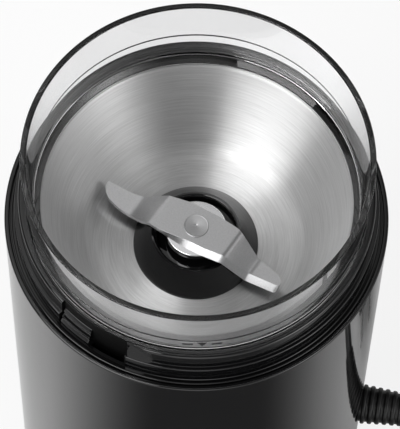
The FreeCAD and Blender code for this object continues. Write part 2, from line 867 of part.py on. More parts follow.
# Base cover: vents, pockets for the feet, screw seats and the rests for the cord clamp
def make_base_cover():
    body = new_body("base_cover")
    skirt_radius = sleeve_inner_foot - 0.3
    turned(body, [
        (0, s.base_bottom),
        (s.foot_radius - s.base_rim - 0.4, s.base_bottom),
        (s.foot_radius - s.base_rim, s.base_bottom + 0.4),
        (s.foot_radius - s.base_rim, s.sleeve_bottom - 0.1),
        (skirt_radius, s.sleeve_bottom - 0.1),
        (skirt_radius, s.base_skirt_top),
        (skirt_radius - 2, s.base_skirt_top),
        (skirt_radius - 2, base_top),
        (0, base_top),
    ])
    seat = post(body, s.column_radius + 1, base_top - 0.2, s.column_bottom,
                s.column_circle * cosine(s.column_turn), s.column_circle * sine(s.column_turn))
    around(body, [seat], screw_count)
    hole = bore(body, s.base_screw_radius + 0.15, s.base_bottom - 1, s.column_bottom + 1,
                s.column_circle * cosine(s.column_turn), s.column_circle * sine(s.column_turn))
    counterbore = bore(body, s.base_screw_head + 0.2, s.base_bottom - 1, base_top + 1,
                       s.column_circle * cosine(s.column_turn), s.column_circle * sine(s.column_turn))
    foot_turn = s.column_turn + 45
    foot_hole = bore(body, s.foot_size + 0.1, s.base_bottom - 1, s.base_bottom + s.foot_pocket,
                     s.foot_circle * cosine(foot_turn), s.foot_circle * sine(foot_turn))
    around(body, [hole, counterbore, foot_hole], screw_count)
    vent = sketch_on(body, "XY_Plane", out=s.base_bottom - 1)
    sector(vent, s.vent_inner, s.vent_outer, -s.vent_half_angle, s.vent_half_angle)
    opening = pocketed(body, vent, s.base_thickness + 2)
    around(body, [opening], vent_count)
    rests_top = s.cord_height - 1.5
    for side in (-1, 1):
        along = side * s.clamp_screw_place
        post(body, s.clamp_screw_radius + 1.4, base_top - 0.2, rests_top, clamp_place, along)
        bore(body, s.clamp_screw_radius + thread_gap, rests_top - 9, rests_top + 1, clamp_place, along)
    half = s.clamp_length / 2 - 0.5
    block(body, clamp_place - half, -3.2, base_top - 0.2,
          clamp_place + half, 3.2, s.cord_height - s.boot_tail_radius - thread_gap)


# Rubber feet
def make_rubber_feet():
    body = new_body("rubber_feet", s.column_turn + 45)
    top = s.base_bottom + s.foot_pocket
    foot = turned(body, [
        (0, 0),
        (s.foot_size - 0.6, 0),
        (s.foot_size, 0.6),
        (s.foot_size, top),
        (0, top),
    ], right=s.foot_circle)
    around(body, [foot], screw_count)


# Steel bowl: spun from sheet, with a flat floor, a round corner and a rolled rim
def make_steel_bowl():
    body = new_body("steel_bowl")
    sheet_gauge = s.bowl_thickness
    underside = s.bowl_floor_height - sheet_gauge
    turned(body, [
        (s.bowl_hole_radius, underside),
        (s.bowl_floor_radius + 0.2, underside, s.bowl_corner_bulge + sheet_gauge),
        (s.bowl_corner_radius + 0.75 * sheet_gauge, s.bowl_corner_height - 0.65 * sheet_gauge,
         s.bowl_wall_bulge),
        (s.bowl_rim_radius + 0.75, s.cup_seat),
        (s.bowl_flange_radius, s.cup_seat),
        (s.bowl_flange_radius, bowl_rim_height),
        (s.bowl_rim_radius + 0.4, bowl_rim_height),
        (s.bowl_rim_radius, bowl_rim_height - 0.4, -s.bowl_wall_bulge),
        (s.bowl_corner_radius, s.bowl_corner_height, -s.bowl_corner_bulge),
        (s.bowl_floor_radius, s.bowl_floor_height),
        (s.bowl_hole_radius, s.bowl_floor_height),
    ])


# Gasket between the bowl's rim and the clear collar
def make_bowl_gasket():
    body = new_body("bowl_gasket")
    inner = s.collar_lip_radius + 0.3
    turned(body, [
        (inner, bowl_rim_height),
        (s.bowl_flange_radius, bowl_rim_height),
        (s.bowl_flange_radius, gasket_top),
        (inner, gasket_top),
    ])


# Clear collar: a tinted wall that flares to the top, with a skirt that holds the bowl down
def make_clear_collar():
    body = new_body("clear_collar")
    skirt_inner = s.cup_head_radius + 0.15
    skirt_outer = s.collar_waist_radius - 0.2
    waist_inner = s.collar_waist_radius - s.collar_wall
    top_inner = s.collar_top_radius - s.collar_wall
    turned(body, [
        (skirt_inner, s.cup_seat - 2.6),
        (skirt_outer, s.cup_seat - 2.6),
        (skirt_outer, s.cup_seat),
        (s.collar_waist_radius, neck_top),
        (s.collar_top_radius, s.collar_top - 0.5),
        (s.collar_top_radius - 0.3, s.collar_top),
        (top_inner + 0.3, s.collar_top),
        (top_inner, s.collar_top - 0.5),
        (waist_inner, neck_top),
        (waist_inner - 0.3, gasket_top + 1.9),
        (s.collar_lip_radius, gasket_top + 0.6),
        (s.collar_lip_radius, gasket_top),
        (skirt_inner, gasket_top),
    ])


# Cup base: the moulding under the bowl, with lugs that key it into the well
def make_cup_base():
    body = new_body("cup_base")
    inner = s.cup_radius - s.cup_wall
    head_inner = s.bowl_rim_radius + 0.95
    floor_top = s.cup_floor + 2.4
    boss = s.bush_radius + 3
    turned(body, [
        (s.bush_radius + thread_gap, s.cup_floor),
        (inner - 1, s.cup_floor),
        (inner - 0.3, cup_bottom),
        (s.cup_radius - 0.5, cup_bottom),
        (s.cup_radius, cup_bottom + 0.5),
        (s.cup_radius, s.cup_seat - 4.5),
        (s.cup_head_radius, s.cup_seat - 3.5),
        (s.cup_head_radius, s.cup_seat),
        (head_inner, s.cup_seat),
        (head_inner, s.cup_seat - 4),
        (inner, s.cup_seat - 6),
        (inner, floor_top),
        (boss, floor_top),
        (boss, s.bowl_floor_height - s.bowl_thickness),
        (s.bush_radius + thread_gap, s.bowl_floor_height - s.bowl_thickness),
    ])
    lug_low = s.ring_bottom - s.lug_drop
    lug = block(body, s.cup_radius - 1, -(s.lug_width / 2), lug_low,
                s.cup_radius + s.lug_reach - 0.2, s.lug_width / 2, lug_low + 8)
    around(body, [lug], lug_count)


# Dome seal: the black dome round the spindle on the bowl's floor
def make_dome_seal():
    body = new_body("dome_seal")
    floor = s.bowl_floor_height
    skirt = floor + s.dome_skirt
    ridge = floor + s.dome_ridge
    recess = floor + s.dome_recess
    turned(body, [
        (s.dome_bore, floor),
        (s.dome_radius, floor),
        (s.dome_radius - 0.1, skirt - 0.3),
        (s.dome_radius - 0.4, skirt),
        (s.dome_foot_radius, skirt + 0.1, s.dome_bulge),
        (s.dome_ridge_radius + 0.6, ridge - 0.3),
        (s.dome_ridge_radius, ridge),
        (s.dome_ridge_radius - 0.5, ridge - 0.2),
        (s.dome_recess_radius, ridge - 1),
        (s.dome_recess_radius - 0.2, recess),
        (s.dome_bore, recess),
    ])


# Bronze bush that the spindle runs in
def make_cup_bearing():
    body = new_body("cup_bearing")
    turned(body, [
        (s.spindle_radius + s.running_gap, s.cup_floor - 0.4),
        (s.bush_radius, s.cup_floor - 0.4),
        (s.bush_radius, s.bowl_floor_height - s.bowl_thickness),
        (s.spindle_radius + s.running_gap, s.bowl_floor_height - s.bowl_thickness),
    ])


# Blade: a bent strip with two arms, one longer and with a rounder tip than the other
def make_blade():
    body = new_body("grinding_blade", s.blade_turn)
    top = s.blade_top
    low = top - s.blade_drop
    gauge = s.blade_thickness
    flat = s.blade_flat_half
    bend = s.blade_bend_half
    short = s.blade_short_reach
    long = s.blade_long_reach
    side = sketch_on(body, "XZ_Plane", out=-8)
    outline(side, [
        (-long, low - gauge), (-bend, low - gauge), (-flat, top - gauge), (flat, top - gauge),
        (bend, low - gauge), (short, low - gauge), (short, low), (bend, low), (flat, top),
        (-flat, top), (-bend, low), (-long, low),
    ])
    padded(body, side, 16)
    plan = sketch_on(body, "XY_Plane", out=low - gauge - 1)
    rectangle(plan, -long - 4, -12, short + 4, 12)
    outline(plan, [
        (flat - 8, 6.1), (flat - 1.5, 5.7), (bend, 3.5), (short - 1.3, 2.3, -1.4), (short - 0.1, 1.0),
        (short, -1.5, -1.0), (short - 0.9, -2.4), (bend, -3.5), (flat + 1, -4.9), (flat - 6, -6.2),
        (flat - 10, -6.6), (-flat + 7, -6.6), (-flat - 2.3, -6.3), (-bend, -5.1),
        (-long + 6, -4.9, -7.0), (-long + 0.2, -1.2), (-long, 0.1, -0.8), (-long + 0.8, 0.9),
        (-bend - 3.2, 1.4), (-bend, 2.2), (-flat, 4.0), (-flat + 6.7, 5.8),
    ])
    pocketed(body, plan, s.blade_drop + gauge + 2)
    bore(body, s.spindle_tip_radius + 0.02, low, top + 1)


# Spindle with its riveted head, which carries the blade
def make_blade_shaft():
    body = new_body("blade_shaft")
    under = s.blade_top - s.blade_thickness
    turned(body, [
        (0, s.spindle_bottom),
        (s.spindle_radius - 0.4, s.spindle_bottom),
        (s.spindle_radius, s.spindle_bottom + 0.4),
        (s.spindle_radius, under),
        (s.spindle_tip_radius, under),
        (s.spindle_tip_radius, s.blade_top),
        (s.rivet_radius, s.blade_top),
        (s.rivet_radius - 0.3, s.blade_top + s.rivet_height),
        (0.7, s.blade_top + s.rivet_height),
        (0, s.blade_top + s.rivet_height - 0.3),
    ])


# Flanged hub under the blade
def make_blade_hub():
    body = new_body("blade_hub")
    top = s.blade_top - s.blade_thickness
    recess = s.bowl_floor_height + s.dome_recess
    hole = s.spindle_radius + 0.02
    turned(body, [
        (hole, recess + 0.4),
        (s.spindle_radius + 2, recess + 0.4),
        (s.spindle_radius + 2, top - s.hub_flange),
        (s.hub_radius - 0.4, top - s.hub_flange),
        (s.hub_radius, top - s.hub_flange + 0.4),
        (s.hub_radius, top - 0.3),
        (s.hub_radius - 0.3, top),
        (hole, top),
    ])


# Hexagonal dog on the spindle's lower end
def make_cup_coupling():
    body = new_body("cup_coupling")
    collar_low = s.coupling_top + 1
    collar_high = s.cup_floor - 0.8
    dog = sketch_on(body, "XY_Plane", out=s.hexagon_bottom)
    hexagon(dog, s.hexagon_size)
    padded(body, dog, collar_low - s.hexagon_bottom + 0.2)
    post(body, 8.5, collar_low, collar_high)
    bore(body, s.spindle_radius + 0.02, s.spindle_bottom, collar_high + 1)


# Drive coupling on the motor shaft, with a hexagonal socket
def make_drive_coupling():
    body = new_body("drive_coupling")
    turned(body, [
        (0, s.coupling_bottom),
        (s.coupling_radius - 3, s.coupling_bottom),
        (s.coupling_radius, s.coupling_bottom + 3),
        (s.coupling_radius, s.coupling_top - 0.6),
        (s.coupling_radius - 0.6, s.coupling_top),
        (0, s.coupling_top),
    ])
    bore(body, s.shaft_end_radius + 0.02, s.coupling_bottom - 1, s.shaft_top + 0.2)
    socket = sketch_on(body, "XY_Plane", out=s.socket_floor)
    hexagon(socket, s.hexagon_size + 2 * s.hexagon_gap)
    pocketed(body, socket, s.coupling_top - s.socket_floor + 1)


# Rubber seal in the well's opening
def make_shaft_seal():
    body = new_body("shaft_seal")
    turned(body, [
        (s.coupling_radius + 0.5, s.well_floor + 0.3),
        (s.opening_radius, s.well_floor + 0.3),
        (s.opening_radius, s.well_floor + 3.3),
        (s.coupling_radius + 1, s.well_floor + 3.3),
        (s.coupling_radius + 0.5, s.well_floor + 2.6),
    ])


# Motor shaft
def make_motor_shaft():
    body = new_body("motor_shaft")
    turned(body, [
        (0, s.shaft_bottom),
        (s.shaft_radius, s.shaft_bottom),
        (s.shaft_radius, s.shaft_shoulder),
        (s.shaft_end_radius, s.shaft_shoulder),
        (s.shaft_end_radius, s.shaft_top),
        (0, s.shaft_top),
    ])


# Rotor stack with its winding slots
def make_rotor_core():
    body = new_body("rotor_core")
    turned(body, [
        (s.shaft_radius + 0.02, s.stator_bottom),
        (s.rotor_radius, s.stator_bottom),
        (s.rotor_radius, stator_top),
        (s.shaft_radius + 0.02, stator_top),
    ])
    groove = slot(body, s.rotor_radius - 6.5, -1.1, s.stator_bottom - 1,
                  s.rotor_radius + 1, 1.1, stator_top + 1)
    around(body, [groove], rotor_slots)


# Rotor windings: the two end turns above and below the stack
def make_rotor_windings():
    body = new_body("rotor_windings")
    inner = s.shaft_radius + 1
    outer = s.rotor_radius - 1.5
    low = s.commutator_top + 0.6
    turned(body, [
        (inner, low), (outer - 3, low), (outer, low + 3), (outer, s.stator_bottom), (inner, s.stator_bottom),
    ])
    turned(body, [
        (inner, stator_top), (outer, stator_top), (outer, stator_top + 3), (outer - 2, stator_top + 5),
        (inner, stator_top + 5),
    ])


# Commutator with its copper bars
def make_commutator():
    body = new_body("commutator")
    low = s.lower_bracket_bottom + 10.6
    turned(body, [
        (s.shaft_radius + 0.02, low),
        (s.commutator_radius, low),
        (s.commutator_radius, s.commutator_top - 2),
        (s.commutator_radius + 1, s.commutator_top - 2),
        (s.commutator_radius + 1, s.commutator_top),
        (s.shaft_radius + 0.02, s.commutator_top),
    ])
    cut = slot(body, s.commutator_radius - 1, -0.25, low - 1,
               s.commutator_radius + 2, 0.25, s.commutator_top + 1)
    around(body, [cut], commutator_bars)


# Cooling fan on the shaft's lower end
def make_cooling_fan():
    body = new_body("cooling_fan")
    disc_top = s.fan_bottom + 1.6
    turned(body, [
        (s.shaft_radius + 0.02, s.fan_bottom),
        (s.fan_radius, s.fan_bottom),
        (s.fan_radius, disc_top),
        (s.shaft_radius + 3.5, disc_top),
        (s.shaft_radius + 3.5, s.fan_bottom + s.fan_height),
        (s.shaft_radius + 0.02, s.fan_bottom + s.fan_height),
    ])
    vane = block(body, s.shaft_radius + 6, -0.6, disc_top - 0.2,
                 s.fan_radius - 0.5, 0.6, s.fan_bottom + s.fan_height - 0.5)
    around(body, [vane], fan_blades)


# Stator stack: rounded block with the rotor's bore, coil windows and bolt holes
def make_stator_core():
    body = new_body("stator_core")
    stack = sketch_on(body, "XY_Plane", out=s.stator_bottom)
    rounded_rectangle(stack, s.stator_length / 2, s.stator_width / 2, s.stator_corner)
    padded(body, stack, s.stator_stack)
    low = s.stator_bottom - 1
    high = stator_top + 1
    bore(body, s.rotor_radius + s.air_gap, low, high)
    for side in (-1, 1):
        for end in (-1, 1):
            across = side * s.window_place
            along = end * s.window_offset
            slot(body, across - s.window_width / 2, along - s.window_length / 2, low,
                 across + s.window_width / 2, along + s.window_length / 2, high)
        bore(body, s.bolt_radius + 0.2, low, high, side * s.bolt_circle * cosine(s.bolt_turn),
             side * s.bolt_circle * sine(s.bolt_turn))


# Field coils: one round each pole, through the windows
def make_field_coils():
    body = new_body("field_coils")
    gap = 0.2
    inner = s.window_place - s.window_width / 2 + gap
    outer = s.window_place + s.window_width / 2 - gap
    reach = s.window_offset + s.window_length / 2 - gap
    hole = s.window_offset - s.window_length / 2 + gap
    side = sketch_on(body, "YZ_Plane", out=inner)
    rectangle(side, -reach, coil_front, reach, stator_top + s.coil_end)
    rectangle(side, -hole, s.stator_bottom - 0.2, hole, stator_top + 0.2)
    coil = padded(body, side, outer - inner)
    around(body, [coil], 2)


# Upper bracket: a cross that holds the bearing and hangs the motor in its grommets
def make_upper_bracket():
    body = new_body("upper_bracket", s.mount_turn)
    turned(body, [
        (s.bearing_radius + thread_gap, boss_bottom),
        (s.hub_boss_radius, boss_bottom),
        (s.hub_boss_radius, boss_top),
        (s.bearing_radius + thread_gap, boss_top),
    ])
    arm = block(body, s.hub_boss_radius - 1, -(s.bracket_arm_width / 2), arm_bottom,
                s.mount_circle, s.bracket_arm_width / 2, arm_top)
    eye = post(body, s.grommet_waist + 2.6, arm_bottom, arm_top, s.mount_circle)
    around(body, [arm, eye], screw_count)
    hole = bore(body, s.grommet_waist + 0.05, arm_bottom - 1, arm_top + 1, s.mount_circle)
    around(body, [hole], screw_count)
    lean = s.bolt_turn - s.mount_turn
    across = s.bolt_circle * cosine(lean)
    along = s.bolt_circle * sine(lean)
    bar = sketch_on(body, "XY_Plane", out=arm_bottom)
    strip(bar, lean, s.hub_boss_radius - 1, s.bolt_circle, s.post_radius)
    bolt_arm = padded(body, bar, s.bracket_plate)
    leg = post(body, s.post_radius, stator_top, arm_top, across, along)
    around(body, [bolt_arm, leg], 2)
    bolt_hole = bore(body, s.bolt_radius + 0.1, stator_top - 1, arm_top + 1, across, along)
    around(body, [bolt_hole], 2)


# Lower bracket: a bar with the lower bearing and two long legs to the stack
def make_lower_bracket():
    body = new_body("lower_bracket", s.bolt_turn)
    turned(body, [
        (s.bearing_radius + thread_gap, s.lower_bracket_bottom),
        (s.hub_boss_radius, s.lower_bracket_bottom),
        (s.hub_boss_radius, s.brush_plate_bottom),
        (s.bearing_radius + thread_gap, s.brush_plate_bottom),
    ])
    arm = block(body, s.hub_boss_radius - 1, -(s.bracket_arm_width / 2), lower_arm_bottom,
                s.bolt_circle + s.post_radius, s.bracket_arm_width / 2, lower_arm_top)
    leg = post(body, s.post_radius, lower_arm_top - 0.2, s.stator_bottom, s.bolt_circle)
    around(body, [arm, leg], 2)
    hole = bore(body, s.bolt_radius + 0.1, lower_arm_bottom - 1, s.stator_bottom + 1, s.bolt_circle)
    around(body, [hole], 2)


# Plain bearings
def make_bearing(name, low):
    body = new_body(name)
    turned(body, [
        (s.shaft_radius + s.running_gap, low),
        (s.bearing_radius, low),
        (s.bearing_radius, low + s.bearing_length),
        (s.shaft_radius + s.running_gap, low + s.bearing_length),
    ])


# Rubber grommets in the bracket's arms
def make_grommets():
    body = new_body("motor_grommets", s.mount_turn)
    low = arm_bottom - s.grommet_lip
    high = arm_top + s.grommet_lip
    ring = turned(body, [
        (s.grommet_bore, low),
        (s.grommet_radius, low),
        (s.grommet_radius, arm_bottom),
        (s.grommet_waist, arm_bottom),
        (s.grommet_waist, arm_top),
        (s.grommet_radius, arm_top),
        (s.grommet_radius, high),
        (s.grommet_bore, high),
    ], right=s.mount_circle)
    around(body, [ring], screw_count)


# Shouldered screws that hang the motor from the well
def make_motor_screws():
    body = new_body("motor_screws", s.mount_turn)
    low = arm_bottom - s.grommet_lip
    shoulder = s.grommet_bore - 0.05
    tip = mount_post_bottom + s.mount_screw_length
    screw = turned(body, [
        (0, low - s.mount_screw_head_height),
        (s.mount_screw_head, low - s.mount_screw_head_height),
        (s.mount_screw_head, low),
        (shoulder, low),
        (shoulder, mount_post_bottom),
        (s.mount_screw_radius, mount_post_bottom),
        (s.mount_screw_radius, tip - 1),
        (s.mount_screw_radius / 3, tip),
        (0, tip),
    ], right=s.mount_circle)
    around(body, [screw], screw_count)


# Long bolts through the brackets and the stack
def make_motor_bolts():
    body = new_body("motor_bolts", s.bolt_turn)
    bolt = turned(body, [
        (0, s.lower_bracket_bottom - 1),
        (s.bolt_radius, s.lower_bracket_bottom - 1),
        (s.bolt_radius, arm_top),
        (s.bolt_head_radius, arm_top),
        (s.bolt_head_radius, arm_top + s.bolt_head_height),
        (0, arm_top + s.bolt_head_height),
    ], right=s.bolt_circle)
    around(body, [bolt], 2)


# Nuts on the long bolts
def make_bolt_nuts():
    body = new_body("bolt_nuts", s.bolt_turn)
    face = sketch_on(body, "XY_Plane", out=lower_arm_bottom - s.nut_height)
    corner = s.nut_size / math.sqrt(3)
    outline(face, [(s.bolt_circle + corner * cosine(60 * turn), corner * sine(60 * turn))
                   for turn in range(6)])
    circle(face, s.bolt_radius + 0.05, s.bolt_circle, 0)
    nut = padded(body, face, s.nut_height)
    around(body, [nut], 2)


# Brush plate: a moulded disc round the commutator
def make_brush_plate():
    body = new_body("brush_plate")
    turned(body, [
        (s.commutator_radius + 1.2, s.brush_plate_bottom),
        (s.brush_plate_radius, s.brush_plate_bottom),
        (s.brush_plate_radius, brush_plate_top),
        (s.commutator_radius + 1.2, brush_plate_top),
    ])
    hole = bore(body, s.post_radius + 0.3, s.brush_plate_bottom - 1, brush_plate_top + 1,
                s.bolt_circle * cosine(s.bolt_turn), s.bolt_circle * sine(s.bolt_turn))
    around(body, [hole], 2)


# Brush gear: holders, carbon brushes, their springs and the end caps, along Y
def make_brush_gear():
    brush_in = s.commutator_radius + 0.1
    brush_out = brush_in + s.brush_length
    half_width = s.brush_width / 2
    half_depth = s.brush_depth / 2
    gap = 0.1

    holders = new_body("brush_holders", 90)
    outer = s.holder_wall + gap
    shell = block(holders, s.commutator_radius + 2.5, -half_width - outer, brush_plate_top,
                  s.holder_end, half_width + outer, s.brush_height + half_depth + outer)
    around(holders, [shell], 2)
    channel = slot(holders, s.commutator_radius + 1.5, -half_width - gap, s.brush_height - half_depth - gap,
                   s.holder_end + 1, half_width + gap, s.brush_height + half_depth + gap)
    around(holders, [channel], 2)

    brushes = new_body("carbon_brushes", 90)
    stick = block(brushes, brush_in, -half_width, s.brush_height - half_depth,
                  brush_out, half_width, s.brush_height + half_depth)
    around(brushes, [stick], 2)

    caps = new_body("brush_caps", 90)
    cap = block(caps, s.holder_end, -half_width - outer, brush_plate_top,
                s.holder_end + 1.2, half_width + outer, s.brush_height + half_depth + outer)
    around(caps, [cap], 2)

    spring_length = s.holder_end.number - brush_out.number
    coil = helix_spring(2.2, 0.45, spring_length, 5)
    coil.translate(FreeCAD.Vector(0, 0, brush_out.number))
    coil.rotate(FreeCAD.Vector(0, 0, 0), FreeCAD.Vector(1, 0, 0), -90)
    opposite = coil.copy()
    opposite.rotate(FreeCAD.Vector(0, 0, 0), FreeCAD.Vector(0, 0, 1), 180)
    height = FreeCAD.Placement(FreeCAD.Vector(0, 0, s.brush_height.number), FreeCAD.Rotation())
    solid_piece("brush_springs", Part.makeCompound([coil, opposite]), height)


def helix_spring(radius, wire, length, turns):
    """A compression spring on the vertical axis, its wire's ends inside the length."""
    climb = length - wire
    quarter = [index / 4 for index in range(4 * turns + 1)]
    points = []
    tangents = []
    for turn in quarter:
        angle = 2 * math.pi * turn
        height = wire / 2 + climb * turn / turns
        points.append(FreeCAD.Vector(radius * math.cos(angle), radius * math.sin(angle), height))
        slope = climb / turns / (2 * math.pi)
        tangent = FreeCAD.Vector(-radius * math.sin(angle), radius * math.cos(angle), slope)
        tangents.append(tangent.normalize())
    edges = []
    for index in range(len(points) - 1):
        edges += biarc(points[index], tangents[index], points[index + 1], tangents[index + 1])
    return tube(edges, points[0], tangents[0], wire / 2)


# Suppression capacitor beside the fan
def make_capacitor():
    body = new_body("suppression_capacitor", 150)
    outer = sleeve_inner_foot - s.capacitor_inset
    half = s.capacitor_width / 2
    block(body, outer - s.capacitor_thickness, -half, base_top, outer, half, base_top + s.capacitor_height)


# Interlock plunger: a flat strip that the lid's tab pushes, with a foot over the switch lever
def make_interlock_plunger():
    body = new_body("interlock_plunger", s.plunger_turn)
    half = s.plunger_width / 2
    outer = s.plunger_radius + s.plunger_thickness
    top = s.ring_bottom - s.plunger_top_gap
    block(body, s.plunger_radius, -half, s.plunger_foot, outer, half, top)
    block(body, s.case_inner + s.plunger_foot_reach, -half, s.plunger_foot,
          s.plunger_radius + 0.2, half, s.plunger_foot + s.plunger_foot_thickness)
    pin = s.spring_radius - s.spring_wire / 2 - 0.35
    post(body, pin, s.plunger_foot - 5, s.plunger_foot + 0.2, s.spring_place)


# Switch bracket: a plate under the well with a shelf for the plunger's spring
def make_switch_bracket():
    body = new_body("switch_bracket", s.plunger_turn)
    plate_inner = s.case_inner - 2
    end = s.case_end + 0.6
    start = s.case_end - s.case_length - 0.6
    shelf_low = s.case_bottom - 2.4
    shelf_top = s.case_bottom - 0.4
    block(body, plate_inner, start, shelf_low, s.case_inner, end, s.well_floor)
    block(body, s.case_inner - 0.2, -4, shelf_low, s.spring_place + 1.8, 4, shelf_top)
    block(body, plate_inner - 6, 2, s.well_floor - 2, plate_inner + 0.2, 18, s.well_floor)
    pin = s.spring_radius - s.spring_wire / 2 - 0.35
    post(body, pin, shelf_top - 0.2, shelf_top + 5, s.spring_place)
    edge = s.switch_screw_edge
    for place in (s.case_end - edge, s.case_end - s.case_length + edge):
        hole = sketch_on(body, "YZ_Plane", out=plate_inner - 1)
        circle(hole, s.switch_screw_radius + 0.1, place, s.case_bottom + edge)
        pocketed(body, hole, 4)


# Interlock spring between the shelf and the plunger's foot
def make_interlock_spring():
    shelf_top = s.case_bottom.number - 0.4
    length = s.plunger_foot.number - shelf_top
    coil = helix_spring(s.spring_radius.number, s.spring_wire.number, length, 9)
    turn = turn_about_z(s.plunger_turn.number)
    base = turn.multVec(FreeCAD.Vector(s.spring_place.number, 0, shelf_top))
    solid_piece("interlock_spring", coil, FreeCAD.Placement(base, turn))


# Microswitch: its case with two ears, the lever, the button and the terminals
def make_microswitch():
    case_outer = s.case_inner + s.case_thickness
    case_start = s.case_end - s.case_length
    case_top = s.case_bottom + s.case_height
    hinge_height = lever_hinge_height
    edge = s.switch_screw_edge
    middle = s.case_inner + s.case_thickness / 2
    lever_in = middle - s.lever_width / 2
    lever_out = middle + s.lever_width / 2
    ear_gap = 0.4

    case = new_body("switch_case", s.plunger_turn)
    block(case, s.case_inner, case_start, s.case_bottom, case_outer, s.case_end, case_top)
    for inner in (lever_in - ear_gap - 1, lever_out + ear_gap):
        block(case, inner, s.lever_hinge - 1.2, case_top - 0.2,
              inner + 1, s.lever_hinge + 1.2, hinge_height + 1)
    pin_hole = sketch_on(case, "YZ_Plane", out=s.case_inner)
    circle(pin_hole, 0.45 + s.running_gap, s.lever_hinge, hinge_height)
    pocketed(case, pin_hole, s.case_thickness)
    slot(case, middle - 2.4, s.button_place - 1.9, case_top - 4,
         middle + 2.4, s.button_place + 1.9, case_top + 1)
    for place in (s.case_end - edge, case_start + edge):
        hole = sketch_on(case, "YZ_Plane", out=s.case_inner - 1)
        circle(hole, s.switch_screw_radius + 0.1, place, s.case_bottom + edge)
        pocketed(case, hole, s.case_thickness + 2)

    lever = new_body("switch_lever", s.plunger_turn)
    side = sketch_on(lever, "YZ_Plane", out=lever_in)
    half = s.lever_thickness / 2
    end_height = hinge_height + s.lever_rise
    outline(side, [
        (s.lever_hinge, hinge_height - half),
        (s.lever_hinge, hinge_height + half),
        (s.lever_end, end_height + half),
        (s.lever_end, end_height - half),
    ])
    padded(lever, side, s.lever_width)
    pin = sketch_on(lever, "YZ_Plane", out=lever_in - ear_gap - 0.9)
    circle(pin, 0.45, s.lever_hinge, hinge_height)
    padded(lever, pin, s.lever_width + 2 * ear_gap + 1.8)

    button = new_body("switch_button", s.plunger_turn)
    slope = s.lever_rise / (s.lever_hinge - s.lever_end)
    lever_under = hinge_height - half + slope * (s.lever_hinge - s.button_place - 1.5)
    block(button, middle - 2, s.button_place - 1.5, case_top - 2.5,
          middle + 2, s.button_place + 1.5, lever_under - 0.35)

    terminals = new_body("switch_terminals", s.plunger_turn)
    for place in (case_start + 12.5, case_start + 21):
        block(terminals, middle - 2.4, place - 0.4, s.case_bottom - s.terminal_length,
              middle + 2.4, place + 0.4, s.case_bottom)

    screws = new_body("switch_screws", s.plunger_turn)
    plate_inner = s.case_inner - 2
    for place in (s.case_end - edge, case_start + edge):
        shank = sketch_on(screws, "YZ_Plane", out=plate_inner)
        circle(shank, s.switch_screw_radius, place, s.case_bottom + edge)
        padded(screws, shank, s.case_thickness + 2)
        head = sketch_on(screws, "YZ_Plane", out=plate_inner - 1.2)
        circle(head, s.switch_screw_head, place, s.case_bottom + edge)
        padded(screws, head, 1.2)


# Boot: the ribbed strain relief where the cord leaves the sleeve, along +X
def make_cord_boot():
    body = new_body("cord_boot")
    pitch = s.boot_length / rib_count
    shrink = (s.boot_radius - s.boot_tip_radius) / rib_count
    groove_depth = 0.9
    flange_out = sleeve_inner_foot - 1.0
    corners = [
        (0, boot_inner_end),
        (s.boot_tail_radius, boot_inner_end),
        (s.boot_tail_radius, flange_out - s.boot_flange_thickness),
        (s.boot_flange_radius, flange_out - s.boot_flange_thickness),
        (s.boot_flange_radius, flange_out),
        (s.boot_neck_radius, flange_out),
        (s.boot_neck_radius, s.boot_start),
    ]
    for rib in range(rib_count):
        radius = s.boot_radius - shrink * rib
        start = s.boot_start + pitch * rib
        corners.append((radius, start))
        corners.append((radius, start + pitch * 0.62))
        if rib < rib_count - 1:
            corners.append((radius - groove_depth * (1 - 0.045 * rib), start + pitch * 0.62))
            corners.append((radius - groove_depth * (1 - 0.045 * rib), start + pitch))
    bore_radius = s.cord_radius + s.running_gap
    corners.append((bore_radius + 0.2, s.boot_tip))
    corners.append((bore_radius, s.boot_tip - 0.3))
    corners.append((bore_radius, s.boot_bore_start))
    corners.append((0, s.boot_bore_start))
    sketch = body.newObject("Sketcher::SketchObject", "boot_outline")
    sketch.AttachmentSupport = [(datum(body, "XY_Plane"), "")]
    sketch.MapMode = "FlatFace"
    bind(sketch, "AttachmentOffset.Base.z", s.cord_height)
    outline(sketch, [(along, radius) for radius, along in corners])
    made = feature(body, "Revolution", sketch, "turned")
    made.ReferenceAxis = (sketch, ["H_Axis"])
    made.Angle = 360


# Clamp over the boot's inner tail
def make_cord_clamp():
    body = new_body("cord_clamp")
    low = s.cord_height - 1.5
    high = s.cord_height + s.clamp_height
    half_length = s.clamp_length / 2
    half_width = s.clamp_width / 2
    block(body, clamp_place - half_length, -half_width, low, clamp_place + half_length, half_width, high)
    groove = sketch_on(body, "YZ_Plane", out=clamp_place - half_length - 1)
    circle(groove, s.boot_tail_radius + thread_gap, 0, s.cord_height)
    pocketed(body, groove, s.clamp_length + 2)
    for side in (-1, 1):
        bore(body, s.clamp_screw_radius + 0.1, low - 1, high + 1, clamp_place, side * s.clamp_screw_place)

    screws = new_body("clamp_screws")
    for side in (-1, 1):
        along = side * s.clamp_screw_place
        post(screws, s.clamp_screw_radius, low - s.clamp_screw_reach, high, clamp_place, along)
        post(screws, s.clamp_screw_head, high, high + s.clamp_screw_head_height, clamp_place, along)


